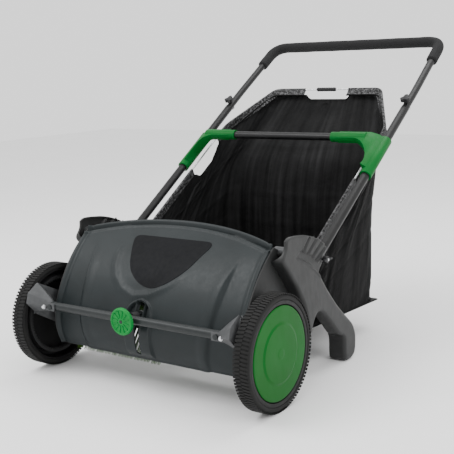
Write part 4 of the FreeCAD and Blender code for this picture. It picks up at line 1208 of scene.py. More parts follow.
@dataclass
class SideBracket:
    """A leg behind a wheel: one thin moulding with round edges, a lip and a finned dome."""

    side: Side
    face_x: float = 306.0
    plate_x: float = 274.0
    foot_x: float = 262.0
    wall: float = 4.0
    edge: float = 9.0
    crown_cut: float = 24.5
    crown_ease: float = 5.0
    sunk: float = 4.5
    groove: float = 5.2

    def build(self) -> None:
        """Makes the leg and the cover's end."""
        word = self.side.word
        self.build_leg()
        self.build_foot()
        self.build_boss()
        softened("end_plate_" + word, "cover_end_" + word, 1.4, BRACKET, "chassis")

    def sink(self, places: np.ndarray) -> np.ndarray:
        """How deep the face lies below its plain level."""
        back, height = places[:, 0] - HANDLE_FOOT[0], places[:, 1] - HANDLE_FOOT[1]
        run = back * math.cos(HANDLE_LEAN) + height * math.sin(HANDLE_LEAN)
        rise = height * math.cos(HANDLE_LEAN) - back * math.sin(HANDLE_LEAN)
        lip_runs, lip_rises = np.array(LIP_LINE).T
        past = run - np.interp(-rise, -lip_rises, lip_runs)
        inside = (smooth_step(past, -1.0, 3.0) * smooth_step(-rise, -90.0, -84.0)
                  * smooth_step(rise, -34.0, -22.0))
        cuts = np.zeros(len(places))
        for start_run, start_rise, end_run, end_rise in GROOVES:
            share = (run - start_run) / (end_run - start_run)
            off = np.abs(rise - start_rise - share * (end_rise - start_rise))
            cuts = np.maximum(cuts, smooth_step(-off, -self.groove, -self.groove * 0.45))
        raised = smooth_step(past, 19.0, 25.0) * (1 - cuts) * smooth_step(rise, 4.0, 12.0)
        bead = bump(past, -7.0, 1.0) * smooth_step(-rise, -88.0, -78.0) * smooth_step(rise, -34.0, -20.0)
        return self.sunk * inside * (1 - raised) - 1.6 * bead

    def build_leg(self) -> None:
        """Makes the moulding."""
        line = evenly(rounded(LEG_LINE + LEG_LINE[:1], 13.0, 5, closed=False), 340)[:-1]
        ahead = np.roll(line, -1, axis=0) - np.roll(line, 1, axis=0)
        ahead /= np.linalg.norm(ahead, axis=1, keepdims=True)
        inward = np.stack((ahead[:, 1], -ahead[:, 0]), axis=1)
        places = [line]
        for reach in (0.35, 1.3, 2.9, 5.0, 7.2, 9.2):
            band = line + inward * reach
            places.append(band[apart(band, line) > reach - 0.08])
        for pitch, low, high, right, margin in LEG_GRIDS:
            backs, heights = np.arange(LEG_FRONT, right, pitch), np.arange(low, high, pitch)
            grid = np.stack(np.meshgrid(backs, heights), axis=2)
            grid[1::2, :, 0] += pitch / 2
            grid = grid.reshape(-1, 2)
            places.append(grid[apart(grid, line) > margin])
        flat = np.concatenate(places)
        count = len(line)
        spots, _, faces, origins, _, _ = delaunay_2d_cdt(
            [Vector(place) for place in flat], [], [list(range(count))], 1, 1e-4)
        spots = np.array([tuple(spot) for spot in spots])
        edge = self.edge - self.crown_ease * smooth_step(spots[:, 1], 292.0, 318.0)
        depth = np.minimum(apart(spots, line), edge)
        drop = edge - np.sqrt(np.maximum(edge ** 2 - (edge - depth) ** 2, 0.0))
        front = self.face_x - drop - self.sink(spots)
        hand = self.side.value
        points = [at(hand * x, y, z) for x, (y, z) in zip(front, spots)]
        found = {origin: index for index, group in enumerate(origins) for origin in group}
        rim = [found[number] for number in range(count)]
        for level in (0.5, 1.0):
            base = len(points)
            for number, (y, z) in enumerate(line):
                foot = 1.0 if y > 336.0 and z < 74.0 else 0.0
                crown = one_step(z, 296.0, 320.0)
                inner = self.plate_x + (self.foot_x - self.plate_x) * foot + self.crown_cut * crown
                points.append(at(hand * (front[found[number]] * (1 - level) + inner * level), y, z))
            faces += [(rim[number], rim[(number + 1) % count], base + (number + 1) % count, base + number)
                      for number in range(count)]
            rim = [base + number for number in range(count)]
        made = new_object("leg_" + self.side.word, points, faces)
        turn_skin(made, Vector((hand, 0, 0)))
        thicken(made, self.wall, 42.0)
        settle(made, BRACKET, "chassis", ["side_bracket_" + self.side.word])

    def build_boss(self) -> None:
        """Makes the round boss that joins the dome to the cover's end."""
        hand = self.side.value
        path = [at(hand * x, 108.0, 318.0) for x in (262.0, 263.5, 272.0, 288.0, 302.0)]
        made = swept("dome_boss_" + self.side.word, path, ring(10.5, 28), UPWARD,
                     swell=lambda distance, share: 0.86 if share < 0.02 else 1.0)
        settle(made, ARM, "chassis")

    def build_foot(self) -> None:
        """Makes the foot's closed inner side."""
        line = rounded([(y - math.copysign(3.0, y - 373), max(z, 3.0)) for y, z in FOOT_LINE], 8.0, 4)
        points = [at(self.side.value * x, y, z)
                  for x in (self.foot_x + 1.5, self.foot_x + 6.0) for y, z in line]
        made = lofted("foot_cap_" + self.side.word, points, len(line))
        smooth(made)
        settle(made, BRACKET, "chassis")


# ---------------------------------------------------------------- wheels


@dataclass
class Wheel:
    """A tyre with moulded tread, its rim and the green cover disc."""

    side: Side
    radius: float = 127.0
    inner_x: float = 302.0
    outer_x: float = 338.0
    bead: float = 113.0
    tread_count: int = 96
    tread_height: float = 2.3
    disc_radius: float = 101.6
    disc_x: float = 334.0

    def build(self) -> None:
        """Makes and dresses the wheel."""
        word = self.side.word
        body = "wheel_" + word
        base = self.radius - self.tread_height + 0.4
        carcass = turned("tyre_body_" + word, [
            (self.inner_x, self.bead), (self.outer_x, self.bead), (self.outer_x, self.bead + 6),
            (self.outer_x - 1.5, base - 3), (self.outer_x - 4, base), (self.inner_x + 4, base),
            (self.inner_x + 1.5, base - 3), (self.inner_x, self.bead + 6)], 0.0, self.side, soft=2.0)
        settle(carcass, TYRE, body, ["tyre_" + word])
        self.build_tread(body)
        rim = turned("rim_" + word, [
            (299.5, 6.05), (330.0, 6.05), (330.0, 90.0), (331.5, 103.6), (337.0, 104.0), (337.0, 112.9),
            (303.0, 112.9), (303.0, 109.0), (318.0, 108.0), (326.0, 104.0), (326.0, 17.0), (299.5, 17.0)],
            0.0, self.side, soft=1.6)
        settle(rim, RIM, body, ["wheel_rim_" + word])
        disc = turned("disc_" + word, [
            (336.6, 0.0), (336.6, 62.5), (334.3, 66.0), (self.disc_x, self.disc_radius),
            (336.4, self.disc_radius + 0.2), (337.4, self.disc_radius - 2.4), (337.2, 68.0), (338.2, 64.6),
            (339.4, 62.0), (339.2, 30.0), (338.8, 13.0), (339.4, 9.0), (339.5, 0.0)],
            0.0, self.side, closed=False, soft=1.4, segments=160)
        settle(disc, DISC, body, ["wheel_disc_" + word])
        dress(DRIVE, "ring_gear_" + word, "pinion_" + word)
        dress(STEEL, "stub_axle_" + word, "axle_clip_" + word)

    def build_tread(self, body: str) -> None:
        """Makes the tread: two staggered rows of bars that meet in the middle."""
        middle = (self.inner_x + self.outer_x) / 2
        pitch = 2 * math.pi * self.radius / self.tread_count
        width = (self.outer_x - self.inner_x) / 2
        for row, offset in ((-1, 0.0), (1, 0.5)):
            bar = block("tread_bar", (width + 0.6, self.tread_height, pitch * 0.68), 0.5, taper=0.94,
                        skew=0.9 * row)
            centre = at(self.side.value * (middle + row * (width / 2 - 0.1)), 0.0, AXLE_HEIGHT)
            made = ring_of(f"tread_{self.side.word}_{'inner' if row < 0 else 'outer'}", bar, self.tread_count,
                           self.radius - self.tread_height / 2 - 0.05, centre, TYRE,
                           offset * 2 * math.pi / self.tread_count)
            discard(bar)
            settle(made, TYRE, body)


# ---------------------------------------------------------------- height adjustment


@dataclass
class HeightAdjuster:
    """The front bar, its arms and bolts, and the ribbed green hand wheel."""

    knob_radius: float = 30.5
    knob_front: float = -107.0
    knob_back: float = -91.6
    rim_depth: float = 9.5
    rib_count: int = 12
    grip_count: int = 40
    level: float = 174.0
    across: float = -8.0
    head_x: float = 256.0
    head_front: float = -99.5
    fan_start: float = 243.0
    fan_length: float = 49.0

    def build(self) -> None:
        """Makes and dresses the adjuster."""
        dress(BAR, "front_bar", "height_bolt")
        dress(DRIVE, "height_spacer")
        for side in Side:
            softened("arm_" + side.word, "axle_arm_" + side.word, 0.9, ARM, "bail")
            dress(BAR, "arm_screw_" + side.word)
            self.build_bolt_head(side)
            self.build_bar_ring(side)
            self.build_fan(side)
        self.build_knob()

    def about_knob(self, made: bpy.types.Object) -> None:
        """Turns a piece drawn about +X at the axle line to point to the rear, in line with the slot."""
        place = Matrix.Translation(at(self.across, self.knob_front, self.level))
        move = place @ Matrix.Rotation(math.pi / 2, 4, "Z")
        home = Matrix.Translation(-at(0.0, 0.0, AXLE_HEIGHT))
        made.data.transform(move @ home)

    def build_knob(self) -> None:
        """Makes the hand wheel with its ribs and grips, three pieces on the knob's body."""
        deep = self.knob_back - self.knob_front
        knob = turned("height_wheel", [
            (1.4, 4.05), (1.2, 7.5), (2.6, 9.0), (2.8, 25.0), (0.2, 26.5), (0.2, 28.6), (2.2, 30.3),
            (self.rim_depth - 1, self.knob_radius), (self.rim_depth, self.knob_radius - 2.0),
            (self.rim_depth, 15.5), (deep, 12.5), (deep, 4.05)], 0.0, Side.RIGHT, soft=0.9, segments=96)
        rib = block("knob_rib", (2.6, 16.5, 2.2), 0.5, taper=0.8)
        ribs = ring_of("height_wheel_ribs", rib, self.rib_count, 17.0, at(1.9, 0.0, AXLE_HEIGHT), KNOB, 0.2)
        grip = block("knob_grip", (7.0, 1.6, 2.6), 0.5)
        grips = ring_of("height_wheel_grips", grip, self.grip_count, self.knob_radius - 0.35,
                        at(5.8, 0.0, AXLE_HEIGHT), KNOB)
        discard(rib, grip)
        for made in (knob, ribs, grips):
            self.about_knob(made)
        settle(knob, KNOB, "height_knob", ["height_knob"])
        settle(ribs, KNOB, "height_knob")
        settle(grips, KNOB, "height_knob")

    def build_bolt_head(self, side: Side) -> None:
        """Makes the six-sided head and washer at the bar's end."""
        x = side.value * self.head_x
        for name, radius, start, depth, count in (("washer", 5.2, self.head_front + 0.4, 4.0, 32),
                                                  ("head", 3.9, self.head_front - 2.2, 3.0, 6)):
            points = [at(x + across, start + layer * depth, self.level + rise)
                      for layer in (0, 1) for across, rise in ring(radius, count)]
            made = lofted(f"bar_{name}_{side.word}", points, count)
            chamfered(made, 0.35)
            smooth(made)
            settle(made, STEEL, "bail")

    def build_fan(self, side: Side) -> None:
        """Makes the pressed fan that widens from the bar's end to the arm."""
        narrow = ((-78, 184), (-87, 183), (-90, 176), (-88, 167), (-79, 165), (-73, 174))
        broad = ((-81, 226), (-113, 207), (-120, 183), (-95, 157), (-60, 150), (-38, 184))
        points = []
        for share in (0.0, 0.12, 0.35, 0.65, 1.0):
            x = side.value * (self.fan_start + self.fan_length * share)
            spread = share ** 0.9
            points += [at(x, y1 + (y2 - y1) * spread, z1 + (z2 - z1) * spread)
                       for (y1, z1), (y2, z2) in zip(narrow, broad)]
        made = lofted("arm_fan_" + side.word, points, len(narrow))
        ease_edges(made, 1.6, 2, 30.0)
        smooth(made, 30.0)
        settle(made, ARM, "bail")

    def build_bar_ring(self, side: Side) -> None:
        """Makes the rounded collar at the end of the bar."""
        x = side.value
        path = [at(x * run, -80.0, self.level) for run in (228.0, 231.0, 234.0, 240.0, 246.0, 250.0)]
        made = swept("bar_collar_" + side.word, path, ring(10.0, 32), UPWARD,
                     swell=lambda distance, share: 1.03 + 0.05 * math.sin(share * math.pi))
        settle(made, BAR, "bail")


# ---------------------------------------------------------------- brush


# Where the bristles of a tuft stand round its middle.
TUFT_SPREAD: tuple[Flat, ...] = (
    (-1.2, -1.0), (0.0, -1.3), (1.2, -1.0), (-1.5, 0.2), (0.2, 0.3), (1.5, 0.1), (-1.0, 1.3), (0.3, 1.2),
    (1.2, 1.0))


@dataclass
class Brush:
    """The shaft, its two holders and the rows of green bristles."""

    radius: float = 104.0
    root: float = 24.0
    half_length: float = 258.0
    pitch: float = 9.8
    row_count: int = 4
    left_angle: float = 235.0
    right_angle: float = 275.0

    def build(self) -> None:
        """Makes and dresses the brush."""
        dress(DRIVE, "brush_holder_left", "brush_holder_right", "brush_bushing_left", "brush_bushing_right")
        dress(BAR, "brush_shaft")
        dress(STEEL, "drive_pin_left", "drive_pin_right")
        tuft = self.tuft()
        for side, first in ((Side.LEFT, self.left_angle), (Side.RIGHT, self.right_angle)):
            rows = []
            for row in range(self.row_count):
                angle = math.radians(first + row * 360.0 / self.row_count)
                start = 5.0 if side is Side.RIGHT else -self.half_length
                end = self.half_length if side is Side.RIGHT else -5.0
                reach = self.root - 1.5
                path = [at(x, BRUSH_BACK + reach * math.cos(angle), AXLE_HEIGHT + reach * math.sin(angle))
                        for x in (start, end)]
                rows.append(row_of(f"bristle_row_{side.word}_{row}", tuft, path, self.pitch, BRISTLE,
                                   tilt=angle, scatter=0.035, seed=SEED + row))
            self.merge(rows, f"bristle_tufts_{side.word}")
            settle(rows[0], BRISTLE, "brush", ["bristles_" + side.word])
            self.build_strips(side, first)
        discard(tuft)

    def build_strips(self, side: Side, first: float) -> None:
        """Makes the clips that hold the rows on the holder."""
        strips = []
        for row in range(self.row_count):
            angle = math.radians(first + row * 360.0 / self.row_count)
            out = Vector((0, math.cos(angle), math.sin(angle)))
            path = [at(side.value * x, BRUSH_BACK + 23.5 * out.y, AXLE_HEIGHT + 23.5 * out.z)
                    for x in (4.0, 90.0, 175.0, self.half_length)]
            strips.append(swept(f"bristle_clip_{side.word}_{row}", path,
                                rounded([(-5.5, -2.5), (5.5, -2.5), (3.6, 4.0), (-3.6, 4.0)], 1.2, 3), out))
        self.merge(strips, f"bristle_clips_{side.word}")
        settle(strips[0], DRIVE, "brush")

    @staticmethod
    def merge(items: list[bpy.types.Object], name: str) -> None:
        """Joins several pieces into the first of them."""
        whole = bmesh.new()
        for item in items:
            whole.from_mesh(item.data)
        whole.to_mesh(items[0].data)
        whole.free()
        discard(*items[1:])
        items[0].name = name
        items[0].data.name = name
        smooth(items[0], 45.0)

    def tuft(self) -> bpy.types.Object:
        """A tuft of nine bent bristles standing along +Y."""
        points, faces = [], []
        length = self.radius - self.root + 1.2
        for number, (x, z) in enumerate(TUFT_SPREAD):
            lean = 1.0 + 0.12 * math.sin(number * 2.3)
            for level, (share, thick) in enumerate(((0.0, 0.8), (0.5, 0.75), (1.0, 0.6))):
                reach = length * share * (1.0 - 0.03 * (number % 3))
                off_x, off_z = x * (1 + 0.7 * share * lean), z * (1 + 1.2 * share * lean)
                for corner in range(3):
                    angle = 2 * math.pi * corner / 3 + number
                    points.append(Vector(((off_x + thick * math.cos(angle)) * MM, reach * MM,
                                          (off_z + thick * math.sin(angle)) * MM)))
            base = number * 9
            for level in (0, 3):
                faces += [(base + level + corner, base + level + (corner + 1) % 3,
                           base + level + 3 + (corner + 1) % 3, base + level + 3 + corner)
                          for corner in range(3)]
            faces += [(base, base + 1, base + 2), (base + 6, base + 7, base + 8)]
        made = new_object("tuft", points, faces)
        outward(made)
        return made


# ---------------------------------------------------------------- handle


@dataclass
class Handle:
    """Lower tubes, green clamps and crossbar, the U-shaped upper handle and its foam grip."""

    tube_x: float = 286.5
    grip_x: float = 279.5
    top_run: float = 961.0
    foam_run: float = 860.0
    kink_run: float = 715.0
    corner: float = 46.0
    foam_radius: float = 15.4
    tube_radius: float = 10.0

    def build(self) -> None:
        """Makes and dresses the handle."""
        dress(TUBE, "crossbar", "rear_tie_rod", "lower_tube_left", "lower_tube_right")
        for side in Side:
            word = side.word
            softened("cross_clamp_" + word, "clamp_" + word, 1.2, CLAMP, "chassis")
            softened("handle_knob_" + word, "hand_knob_" + word, 1.4, BLACK_KNOB, "handle_knob_" + word, 3)
            softened("wing_nut_" + word, "wing_" + word, 1.0, BLACK_KNOB, "wing_nut_" + word)
            dress(STEEL, "handle_bolt_" + word, "bracket_bolt_" + word)
        self.build_upper()
        self.build_foam()

    def line(self, start: float, step: float = 6.0) -> list[Vector]:
        """The upper handle's middle line from a run on the right leg round to the left."""
        kink_share = (start - self.kink_run) / (self.top_run - self.kink_run)
        low_x = self.tube_x + (self.grip_x - self.tube_x) * max(0.0, kink_share)
        corners = [(low_x, start)]
        if start < self.kink_run:
            corners.append((self.tube_x, self.kink_run))
        corners.append((self.grip_x, self.top_run))
        full = corners + [(-x, run) for x, run in reversed(corners)]
        soft = rounded(full, self.corner, 14, closed=False)
        made: list[Vector] = []
        for (x1, r1), (x2, r2) in zip(soft, soft[1:]):
            count = max(1, int(math.dist((x1, r1), (x2, r2)) / step))
            made += [on_handle(x1 + (x2 - x1) * mark / count, r1 + (r2 - r1) * mark / count, 0.0)
                     for mark in range(count)]
        made.append(on_handle(soft[-1][0], soft[-1][1], 0.0))
        return made

    def build_upper(self) -> None:
        """Makes the upper handle as one tube with filled ends."""
        made = swept("push_handle", self.line(640.0), ring(self.tube_radius, 32), HANDLE_NORMAL)
        settle(made, TUBE, "chassis", ["upper_handle"])

    def build_foam(self) -> None:
        """Makes the foam grip with rounded ends and a slightly uneven skin."""
        def uneven(distance: float, share: float) -> float:
            """Rounded ends and gentle waves."""
            ends = min(distance, abs(distance / max(share, 1e-6) - distance)) / MM
            shoulder = 0.72 + 0.28 * math.sqrt(max(0.0, 1 - (1 - min(ends / 5.0, 1.0)) ** 2))
            return shoulder * (1.0 + 0.012 * math.sin(distance * 61) + 0.008 * math.sin(distance * 143 + 1.3))
        path = self.line(self.foam_run, 1.8)
        made = swept("handle_grip", path, ring(self.foam_radius, 36), HANDLE_NORMAL, swell=uneven)
        settle(made, FOAM, "chassis", ["foam_grip"])


# ---------------------------------------------------------------- bag


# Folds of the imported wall: where (0 to 1 round it), lean, width as a share, and depth.
UPRIGHT_FOLDS = (
    (0.405, 0.010, 0.0035, 3.2), (0.452, -0.006, 0.003, 2.4), (0.5, 0.004, 0.0035, 3.4),
    (0.556, -0.008, 0.003, 2.2), (0.598, 0.006, 0.0035, 3.0), (0.18, 0.03, 0.005, 3.2),
    (0.26, -0.02, 0.004, 2.6), (0.745, 0.02, 0.004, 3.0), (0.83, -0.03, 0.005, 3.2))
# Folds that run round it: where (0 to 1 up it), width as a share, and depth.
LEVEL_FOLDS = ((0.735, 0.012, 2.6), (0.47, 0.012, 1.8), (0.30, 0.01, 1.5))
CLOTH_SETTINGS = {"quality": 5, "mass": 0.12, "tension_stiffness": 12.0, "compression_stiffness": 12.0,
                  "shear_stiffness": 4.0, "bending_stiffness": 0.6, "shrink_min": -0.018}


@dataclass
class Bag:
    """The cloth bag hung from its wire rim: walls, net sleeves, piping, floor board and hand grip."""

    wire_side: float = 257.0
    wire_rear: float = 173.0
    wire_turn_run: float = 563.0
    wire_rear_run: float = 741.0
    wire_front_run: float = 62.0
    wire_drop: float = 8.0
    hand_half: float = 69.0
    gap_start: float = 352.0
    gap_end: float = 506.0
    levels: int = 84
    sleeve_height: float = 19.0
    hang_limit: float = 5.0
    hang_frames: int = 21

    def rim_path(self) -> list[tuple[float, float]]:
        """The wire's middle line on the handle's plane, (across, run), from right front to left front."""
        right = [(self.wire_side - 1, self.wire_front_run), (self.wire_side, self.wire_turn_run),
                 (self.wire_rear, self.wire_rear_run)]
        full = right + [(-x, run) for x, run in reversed(right)]
        return rounded(full, 20.0, 8, closed=False)

    def build(self) -> None:
        """Makes and dresses the bag."""
        dress(WIRE, "bag_frame")
        self.build_wall()
        self.build_sleeves()
        self.build_board()
        self.build_grip()

    def ring_line(self, front: Point, bend: Point, rear: Point, counts: tuple[int, int, int]) -> np.ndarray:
        """One level of the wall, from right front round the rear to left front."""
        right = np.concatenate((evenly([front, bend], counts[0])[:-1], evenly([bend, rear], counts[1])[:-1]))
        back = evenly([rear, (-rear[0], rear[1], rear[2])], counts[2])
        left = right[::-1] * np.array([-1.0, 1.0, 1.0])
        line = np.concatenate((right, back, left))
        soft = line.copy()
        for _ in range(9):
            soft[1:-1] = (soft[:-2] + 2 * soft[1:-1] + soft[2:]) / 4
        return soft

    def wall_grid(self) -> np.ndarray:
        """Places of the wall before it hangs: levels by places, in millimetres."""
        counts = (52, 30, 52)
        top = -self.wire_drop - 17.0
        keys = [
            (0.0, (249.0, 207.0, 104.5), (243.5, 380.0, 93.5), (231.0, 655.0, 79.0)),
            (0.40, (251.0, 214.0, 166.0), (248.0, 440.0, 250.0), (235.0, 656.0, 318.0)),
            (0.64, (253.0, 221.0, 205.0), (252.0, 530.0, 360.0), (230.0, 690.0, 451.0)),
            (1.0, off_handle(254.0, self.wire_front_run - 4, top), off_handle(255.5, self.wire_turn_run, top),
             off_handle(172.0, self.wire_rear_run - 1.5, top))]
        lines = [self.ring_line(front, bend, rear, counts) for _, front, bend, rear in keys]
        shares = np.array([key[0] for key in keys])
        grid = []
        for level in np.linspace(0, 1, self.levels):
            upper = int(np.clip(np.searchsorted(shares, level), 1, len(keys) - 1))
            local = (level - shares[upper - 1]) / (shares[upper] - shares[upper - 1])
            before, first, second, after = (lines[max(upper - 2, 0)], lines[upper - 1], lines[upper],
                                            lines[min(upper + 1, len(keys) - 1)])
            slope_1 = (second - before) / 2 if upper > 1 else second - first
            slope_2 = (after - first) / 2 if upper < len(keys) - 1 else second - first
            h = local
            grid.append((2 * h ** 3 - 3 * h ** 2 + 1) * first + 0.6 * (h ** 3 - 2 * h ** 2 + h) * slope_1
                        + (-2 * h ** 3 + 3 * h ** 2) * second + 0.6 * (h ** 3 - h ** 2) * slope_2)
        made = np.array(grid)
        self.cut_edge(made)
        return made

    def edge_drop(self, x: np.ndarray, run: np.ndarray) -> np.ndarray:
        """How far the wall's top edge hangs below the sleeves' line, for the hand gap and the clamps."""
        rear = smooth_step(run, self.wire_rear_run - 20, self.wire_rear_run - 6)
        hand = rear * smooth_step(np.abs(x), self.hand_half + 4, self.hand_half - 10)
        clamps = smooth_step(run, self.gap_start, self.gap_start + 40) * (
            1 - smooth_step(run, self.gap_end - 40, self.gap_end)) * (1 - rear)
        return 13.0 * hand + 24.0 * clamps

    def cut_edge(self, grid: np.ndarray) -> None:
        """Lowers the wall's upper levels where its edge hangs free."""
        lean = np.array([0.0, math.cos(HANDLE_LEAN), math.sin(HANDLE_LEAN)])
        foot = np.array([0.0, *HANDLE_FOOT])
        top = grid[-1]
        run = (top - foot) @ lean
        drop = self.edge_drop(top[:, 0], run)
        for level in range(len(grid)):
            grid[level, :, 2] -= drop * one_step(level / (len(grid) - 1), 0.8, 1.0)

    def crease(self, grid: np.ndarray) -> None:
        """Presses the packing folds and soft waves into the hung wall."""
        levels, count, _ = grid.shape
        across = np.gradient(grid, axis=1)
        upwards = np.gradient(grid, axis=0)
        out = np.cross(across, upwards)
        out /= np.linalg.norm(out, axis=2, keepdims=True) + 1e-9
        level = np.linspace(0, 1, levels)[:, None]
        place = np.linspace(0, 1, count)[None, :]
        depth = np.zeros((levels, count))
        for centre, lean, width, amount in UPRIGHT_FOLDS:
            off = (place - centre - lean * (level - 0.5)) / width
            depth += amount * np.exp(-np.abs(off) ** 1.3) * (0.6 + 0.4 * np.sin(7 * level + centre * 40))
        for centre, width, amount in LEVEL_FOLDS:
            depth += amount * np.exp(-np.abs((level - centre - 0.012 * np.sin(place * 21)) / width) ** 1.3)
        waves = (np.sin(place * 61 + 2.5 * np.sin(level * 5)) + 0.7 * np.sin(place * 97 - 4 * level)
                 + 0.5 * np.sin(place * 151 + 6 * level))
        depth += 1.1 * waves * np.sin(np.pi * np.clip(level, 0, 1)) ** 0.5
        hold = smooth_step(level, 0.0, 0.06) * (1 - smooth_step(level, 0.95, 1.0))
        grid -= out * (depth * hold)[:, :, None]

    def build_wall(self) -> None:
        """Makes the walls as one sheet, hangs it as cloth and gives it its folds."""
        grid = self.wall_grid()
        levels, count, _ = grid.shape
        flat = grid.reshape(-1, 3)
        faces = [(first, first + 1, first + count + 1, first + count)
                 for row in range(levels - 1) for first in range(row * count, row * count + count - 1)]
        made = new_object("bag_wall", [at(*point) for point in flat], faces)
        self.hang(made, count)
        hung = np.array([vertex.co for vertex in made.data.vertices])
        grid = (hung - np.array([0.0, AXLE_Y, 0.0])).reshape(levels, count, 3) / MM
        self.crease(grid)
        for vertex, point in zip(made.data.vertices, grid.reshape(-1, 3)):
            vertex.co = at(*point)
        self.chart(made, grid)
        turn_skin(made, -FORWARD)
        thicken(made, 0.9, 60.0, offset=0.0)
        settle(made, CLOTH, "bag", ["bag_fabric"])

    @staticmethod
    def chart(made: bpy.types.Object, grid: np.ndarray) -> None:
        """Gives the wall UVs in metres: round the bag and up it."""
        levels, count, _ = grid.shape
        middle = grid[levels // 2]
        along = travelled(middle) * MM
        tall = travelled(grid[:, count // 2]) * MM
        layer = made.data.uv_layers.new(name="cut")
        for face in made.data.polygons:
            for loop, vertex in zip(face.loop_indices, face.vertices):
                layer.data[loop].uv = (along[vertex % count], tall[vertex // count])

    def hang(self, made: bpy.types.Object, count: int) -> None:
        """Hangs the wall as cloth from its top edge, its foot held by the board."""
        held = made.vertex_groups.new(name="held")
        total = len(made.data.vertices)
        rows = total // count
        fixed_rows = list(range(count)) + list(range((rows - 1) * count, total))
        fronts = [row * count + end for row in range(rows) for end in (0, count - 1)]
        held.add(fixed_rows + fronts, 1.0, "REPLACE")
        rest = [vertex.co.copy() for vertex in made.data.vertices]
        cloth = made.modifiers.new("hang", "CLOTH")
        for name, value in CLOTH_SETTINGS.items():
            setattr(cloth.settings, name, value)
        cloth.settings.vertex_group_mass = "held"
        cloth.collision_settings.use_collision = False
        scene = bpy.context.scene
        for frame in range(1, self.hang_frames + 1):
            scene.frame_set(frame)
        fixed(made)
        scene.frame_set(1)
        limit = self.hang_limit * MM
        for vertex, start in zip(made.data.vertices, rest):
            moved = vertex.co - start
            if moved.length > limit:
                vertex.co = start + moved.normalized() * limit

    def build_sleeves(self) -> None:
        """Makes the net sleeves that hold the wire, with piping and stitches under them."""
        line = evenly(self.rim_path(), 900)
        runs, across = line[:, 1], line[:, 0]
        rear = runs > self.wire_rear_run - 4
        open_hand = rear & (np.abs(across) < self.hand_half)
        open_clamp = (runs > self.gap_start + 4) & (runs < self.gap_end - 4)
        shown = ~(open_hand | open_clamp)
        stitch = block("stitch", (3.4, 0.7, 0.7), 0.2)
        number, start = 0, None
        for index in range(len(line) + 1):
            inside = index < len(line) and shown[index]
            if inside and start is None:
                start = index
            elif not inside and start is not None:
                if index - start > 12:
                    number += 1
                    self.build_sleeve(line[start:index], number, stitch)
                start = None
        discard(stitch)

    def sleeve_up(self, run: float) -> Vector:
        """Which way the wall leaves the wire, the other way about."""
        share = one_step(run, self.wire_turn_run - 30, self.wire_rear_run - 30)
        side_up = Vector((0.0, -math.sin(HANDLE_LEAN), math.cos(HANDLE_LEAN)))
        return side_up.lerp(Vector((0.0, 0.59, 0.81)), share).normalized()

    def build_sleeve(self, line: np.ndarray, number: int, stitch: bpy.types.Object) -> None:
        """Makes one length of sleeve."""
        drop = self.wire_drop
        tall = self.sleeve_height
        up = [self.sleeve_up(run) for run in line[:, 1]]
        path = [on_handle(x, run, -drop) for x, run in line[::3]]
        section = [(math.cos(angle) * 3.6, math.sin(angle) * 3.6 + 0.4)
                   for angle in np.linspace(0, math.pi, 9)]
        section += [(-3.0, -5.0), (-2.0, -tall * 0.6), (-1.7, -tall), (1.7, -tall), (2.0, -tall * 0.6),
                    (3.0, -5.0)]
        made = swept(f"sleeve_{number}", path, section, up[::3])
        settle(made, NET, "bag")
        seam = [on_handle(x, run, -drop) - lift * (tall + 0.5) * MM
                for (x, run), lift in zip(line[::4], up[::4])]
        piping = swept(f"piping_{number}", seam, ring(2.3, 10), up[::4])
        settle(piping, PIPING, "bag")
        for label, sideways in (("in", -3.4), ("out", 3.4)):
            marks = []
            for index in range(0, len(line) - 4, 4):
                ahead = line[index + 4] - line[index]
                ahead = ahead / np.linalg.norm(ahead)
                x, run = line[index] + np.array([ahead[1], -ahead[0]]) * sideways * 0.62
                marks.append(on_handle(x, run, -drop) - up[index] * (tall - 4.0) * MM)
            row = row_of(f"stitches_{label}_{number}", stitch, marks, 5.0, STITCH)
            settle(row, STITCH, "bag")

    def build_board(self) -> None:
        """Makes the cloth-covered floor board and its hem."""
        softened("bag_floor", "floor_board", 1.3, BOARD, "bag", 3)
        board = bpy.data.objects["floor_board"]
        layer = board.data.uv_layers.new(name="cut")
        for face in board.data.polygons:
            for loop, vertex in zip(face.loop_indices, face.vertices):
                place = board.data.vertices[vertex].co
                layer.data[loop].uv = (place.x, place.y + place.z)
        hem = [at(side * 249.0, 209.0, 105.5) if index == 0 else at(side * 229.5, 652.0, 80.5)
               for side, index in ((1, 0), (1, 1), (-1, 1), (-1, 0))]
        made = swept("floor_hem", eased_corners(hem, 26.0), ring(2.6, 10), UPWARD)
        settle(made, PIPING, "bag")

    def build_grip(self) -> None:
        """Makes the ribbed hand grip on the wire."""
        path = [on_handle(x, self.wire_rear_run, -self.wire_drop) for x in np.linspace(-31, 31, 63)]

        def ribbed(distance: float, share: float) -> float:
            """Ribs between two plain ends."""
            inner = 0.12 < share < 0.88
            ends = min(share, 1 - share) * 62
            rib = 0.06 * math.cos(distance / MM * 1.05) if inner else 0.04
            return (0.94 + rib) * min(1.0, 0.7 + 0.3 * ends / 3)
        made = swept("carry_grip", path, ring(6.0, 24), UPWARD, swell=ribbed)
        settle(made, BLACK_KNOB, "bag_grip", ["bag_grip"])


def eased_corners(points: Sequence[Vector], reach: float) -> list[Vector]:
    """A run of places with its corners rounded.

    Args:
        points: the corners, in metres.
        reach: how far from a corner its curve starts, in millimetres.

    Returns:
        The rounded run.
    """
    made = [points[0]]
    for before, corner, after in zip(points, points[1:], points[2:]):
        start = corner + (before - corner).normalized() * reach * MM
        end = corner + (after - corner).normalized() * reach * MM
        for step in range(9):
            share = step / 8
            made.append(start * (1 - share) ** 2 + corner * 2 * share * (1 - share) + end * share ** 2)
    made.append(points[-1])
    return made


# ---------------------------------------------------------------- studio


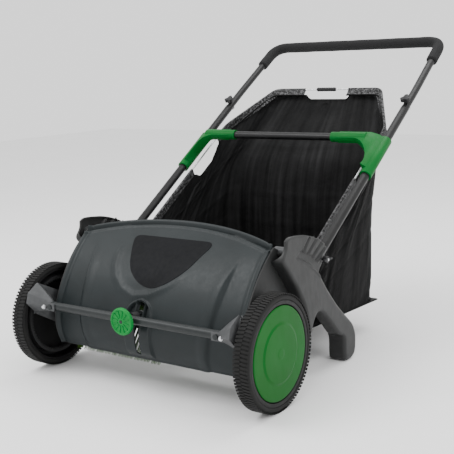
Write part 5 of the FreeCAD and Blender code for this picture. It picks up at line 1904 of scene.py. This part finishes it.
@dataclass
class Studio:
    """Pale floor, soft lamps and the camera."""

    eye: Point = (1298.489, -1530.673, 727.299)
    ahead: Point = (-0.57136, 0.801345, -0.177185)
    upward: Point = (-0.07536, 0.163756, 0.983618)
    lens: float = 71.83
    shift: Flat = (0.0038, -0.0040)

    def build(self) -> None:
        """Makes the floor, the lamps and the camera."""
        half = 6.0
        corners = ((-half, -half), (half, -half), (half, half), (-half, half))
        floor = new_object("floor", [Vector((x, y, -0.0005)) for x, y in corners], [(0, 1, 2, 3)])
        shader = Shader("floor_paper")
        cloud = shader.noise(3.0, 3.0)
        shader.join(shader.colours(cloud, (0.88, 0.88, 0.88), (0.91, 0.91, 0.91)), "Base Color")
        shader.fix(roughness=0.9)
        floor.data.materials.append(shader.material)
        world = bpy.data.worlds.new("studio")
        bpy.context.scene.world = world
        world.use_nodes = True
        world.node_tree.nodes["Background"].inputs["Color"].default_value = (1.0, 1.0, 1.0, 1.0)
        world.node_tree.nodes["Background"].inputs["Strength"].default_value = 1.45
        self.lamp("key", (-1.2, -1.6, 2.6), 60.0, 1.6)
        self.lamp("fill", (2.4, -0.6, 1.6), 24.0, 1.4)
        self.lamp("top", (0.3, 1.2, 2.8), 40.0, 1.8)
        self.build_camera()

    @staticmethod
    def lamp(name: str, place: Point, power: float, size: float) -> None:
        """Adds a soft square lamp aimed at the object."""
        light = bpy.data.lights.new(name, "AREA")
        light.energy = power
        light.size = size
        made = bpy.data.objects.new(name, light)
        bpy.context.scene.collection.objects.link(made)
        made.location = place
        made.rotation_euler = (Vector((0.0, 0.0, 0.3)) - Vector(place)).to_track_quat("-Z", "Y").to_euler()

    def build_camera(self) -> None:
        """Adds the camera."""
        camera = bpy.data.cameras.new("camera")
        camera.lens = self.lens
        camera.sensor_width = 36.0
        camera.shift_x, camera.shift_y = self.shift
        camera.clip_end = 50.0
        made = bpy.data.objects.new("camera", camera)
        bpy.context.scene.collection.objects.link(made)
        back = -Vector(self.ahead).normalized()
        upward = Vector(self.upward)
        right = upward.cross(back).normalized()
        upward = back.cross(right)
        turn = Matrix((right, upward, back)).transposed().to_4x4()
        made.matrix_world = Matrix.Translation(at(*self.eye)) @ turn
        bpy.context.scene.camera = made


def main() -> None:
    """Builds the looks of every sub-assembly round the frame."""
    logging.basicConfig(level=logging.INFO, format="%(name)s: %(message)s")
    Hood().build()
    for side in Side:
        SideBracket(side).build()
        Wheel(side).build()
    HeightAdjuster().build()
    Brush().build()
    Handle().build()
    Bag().build()
    Studio().build()


if __name__ == "__main__":
    main()
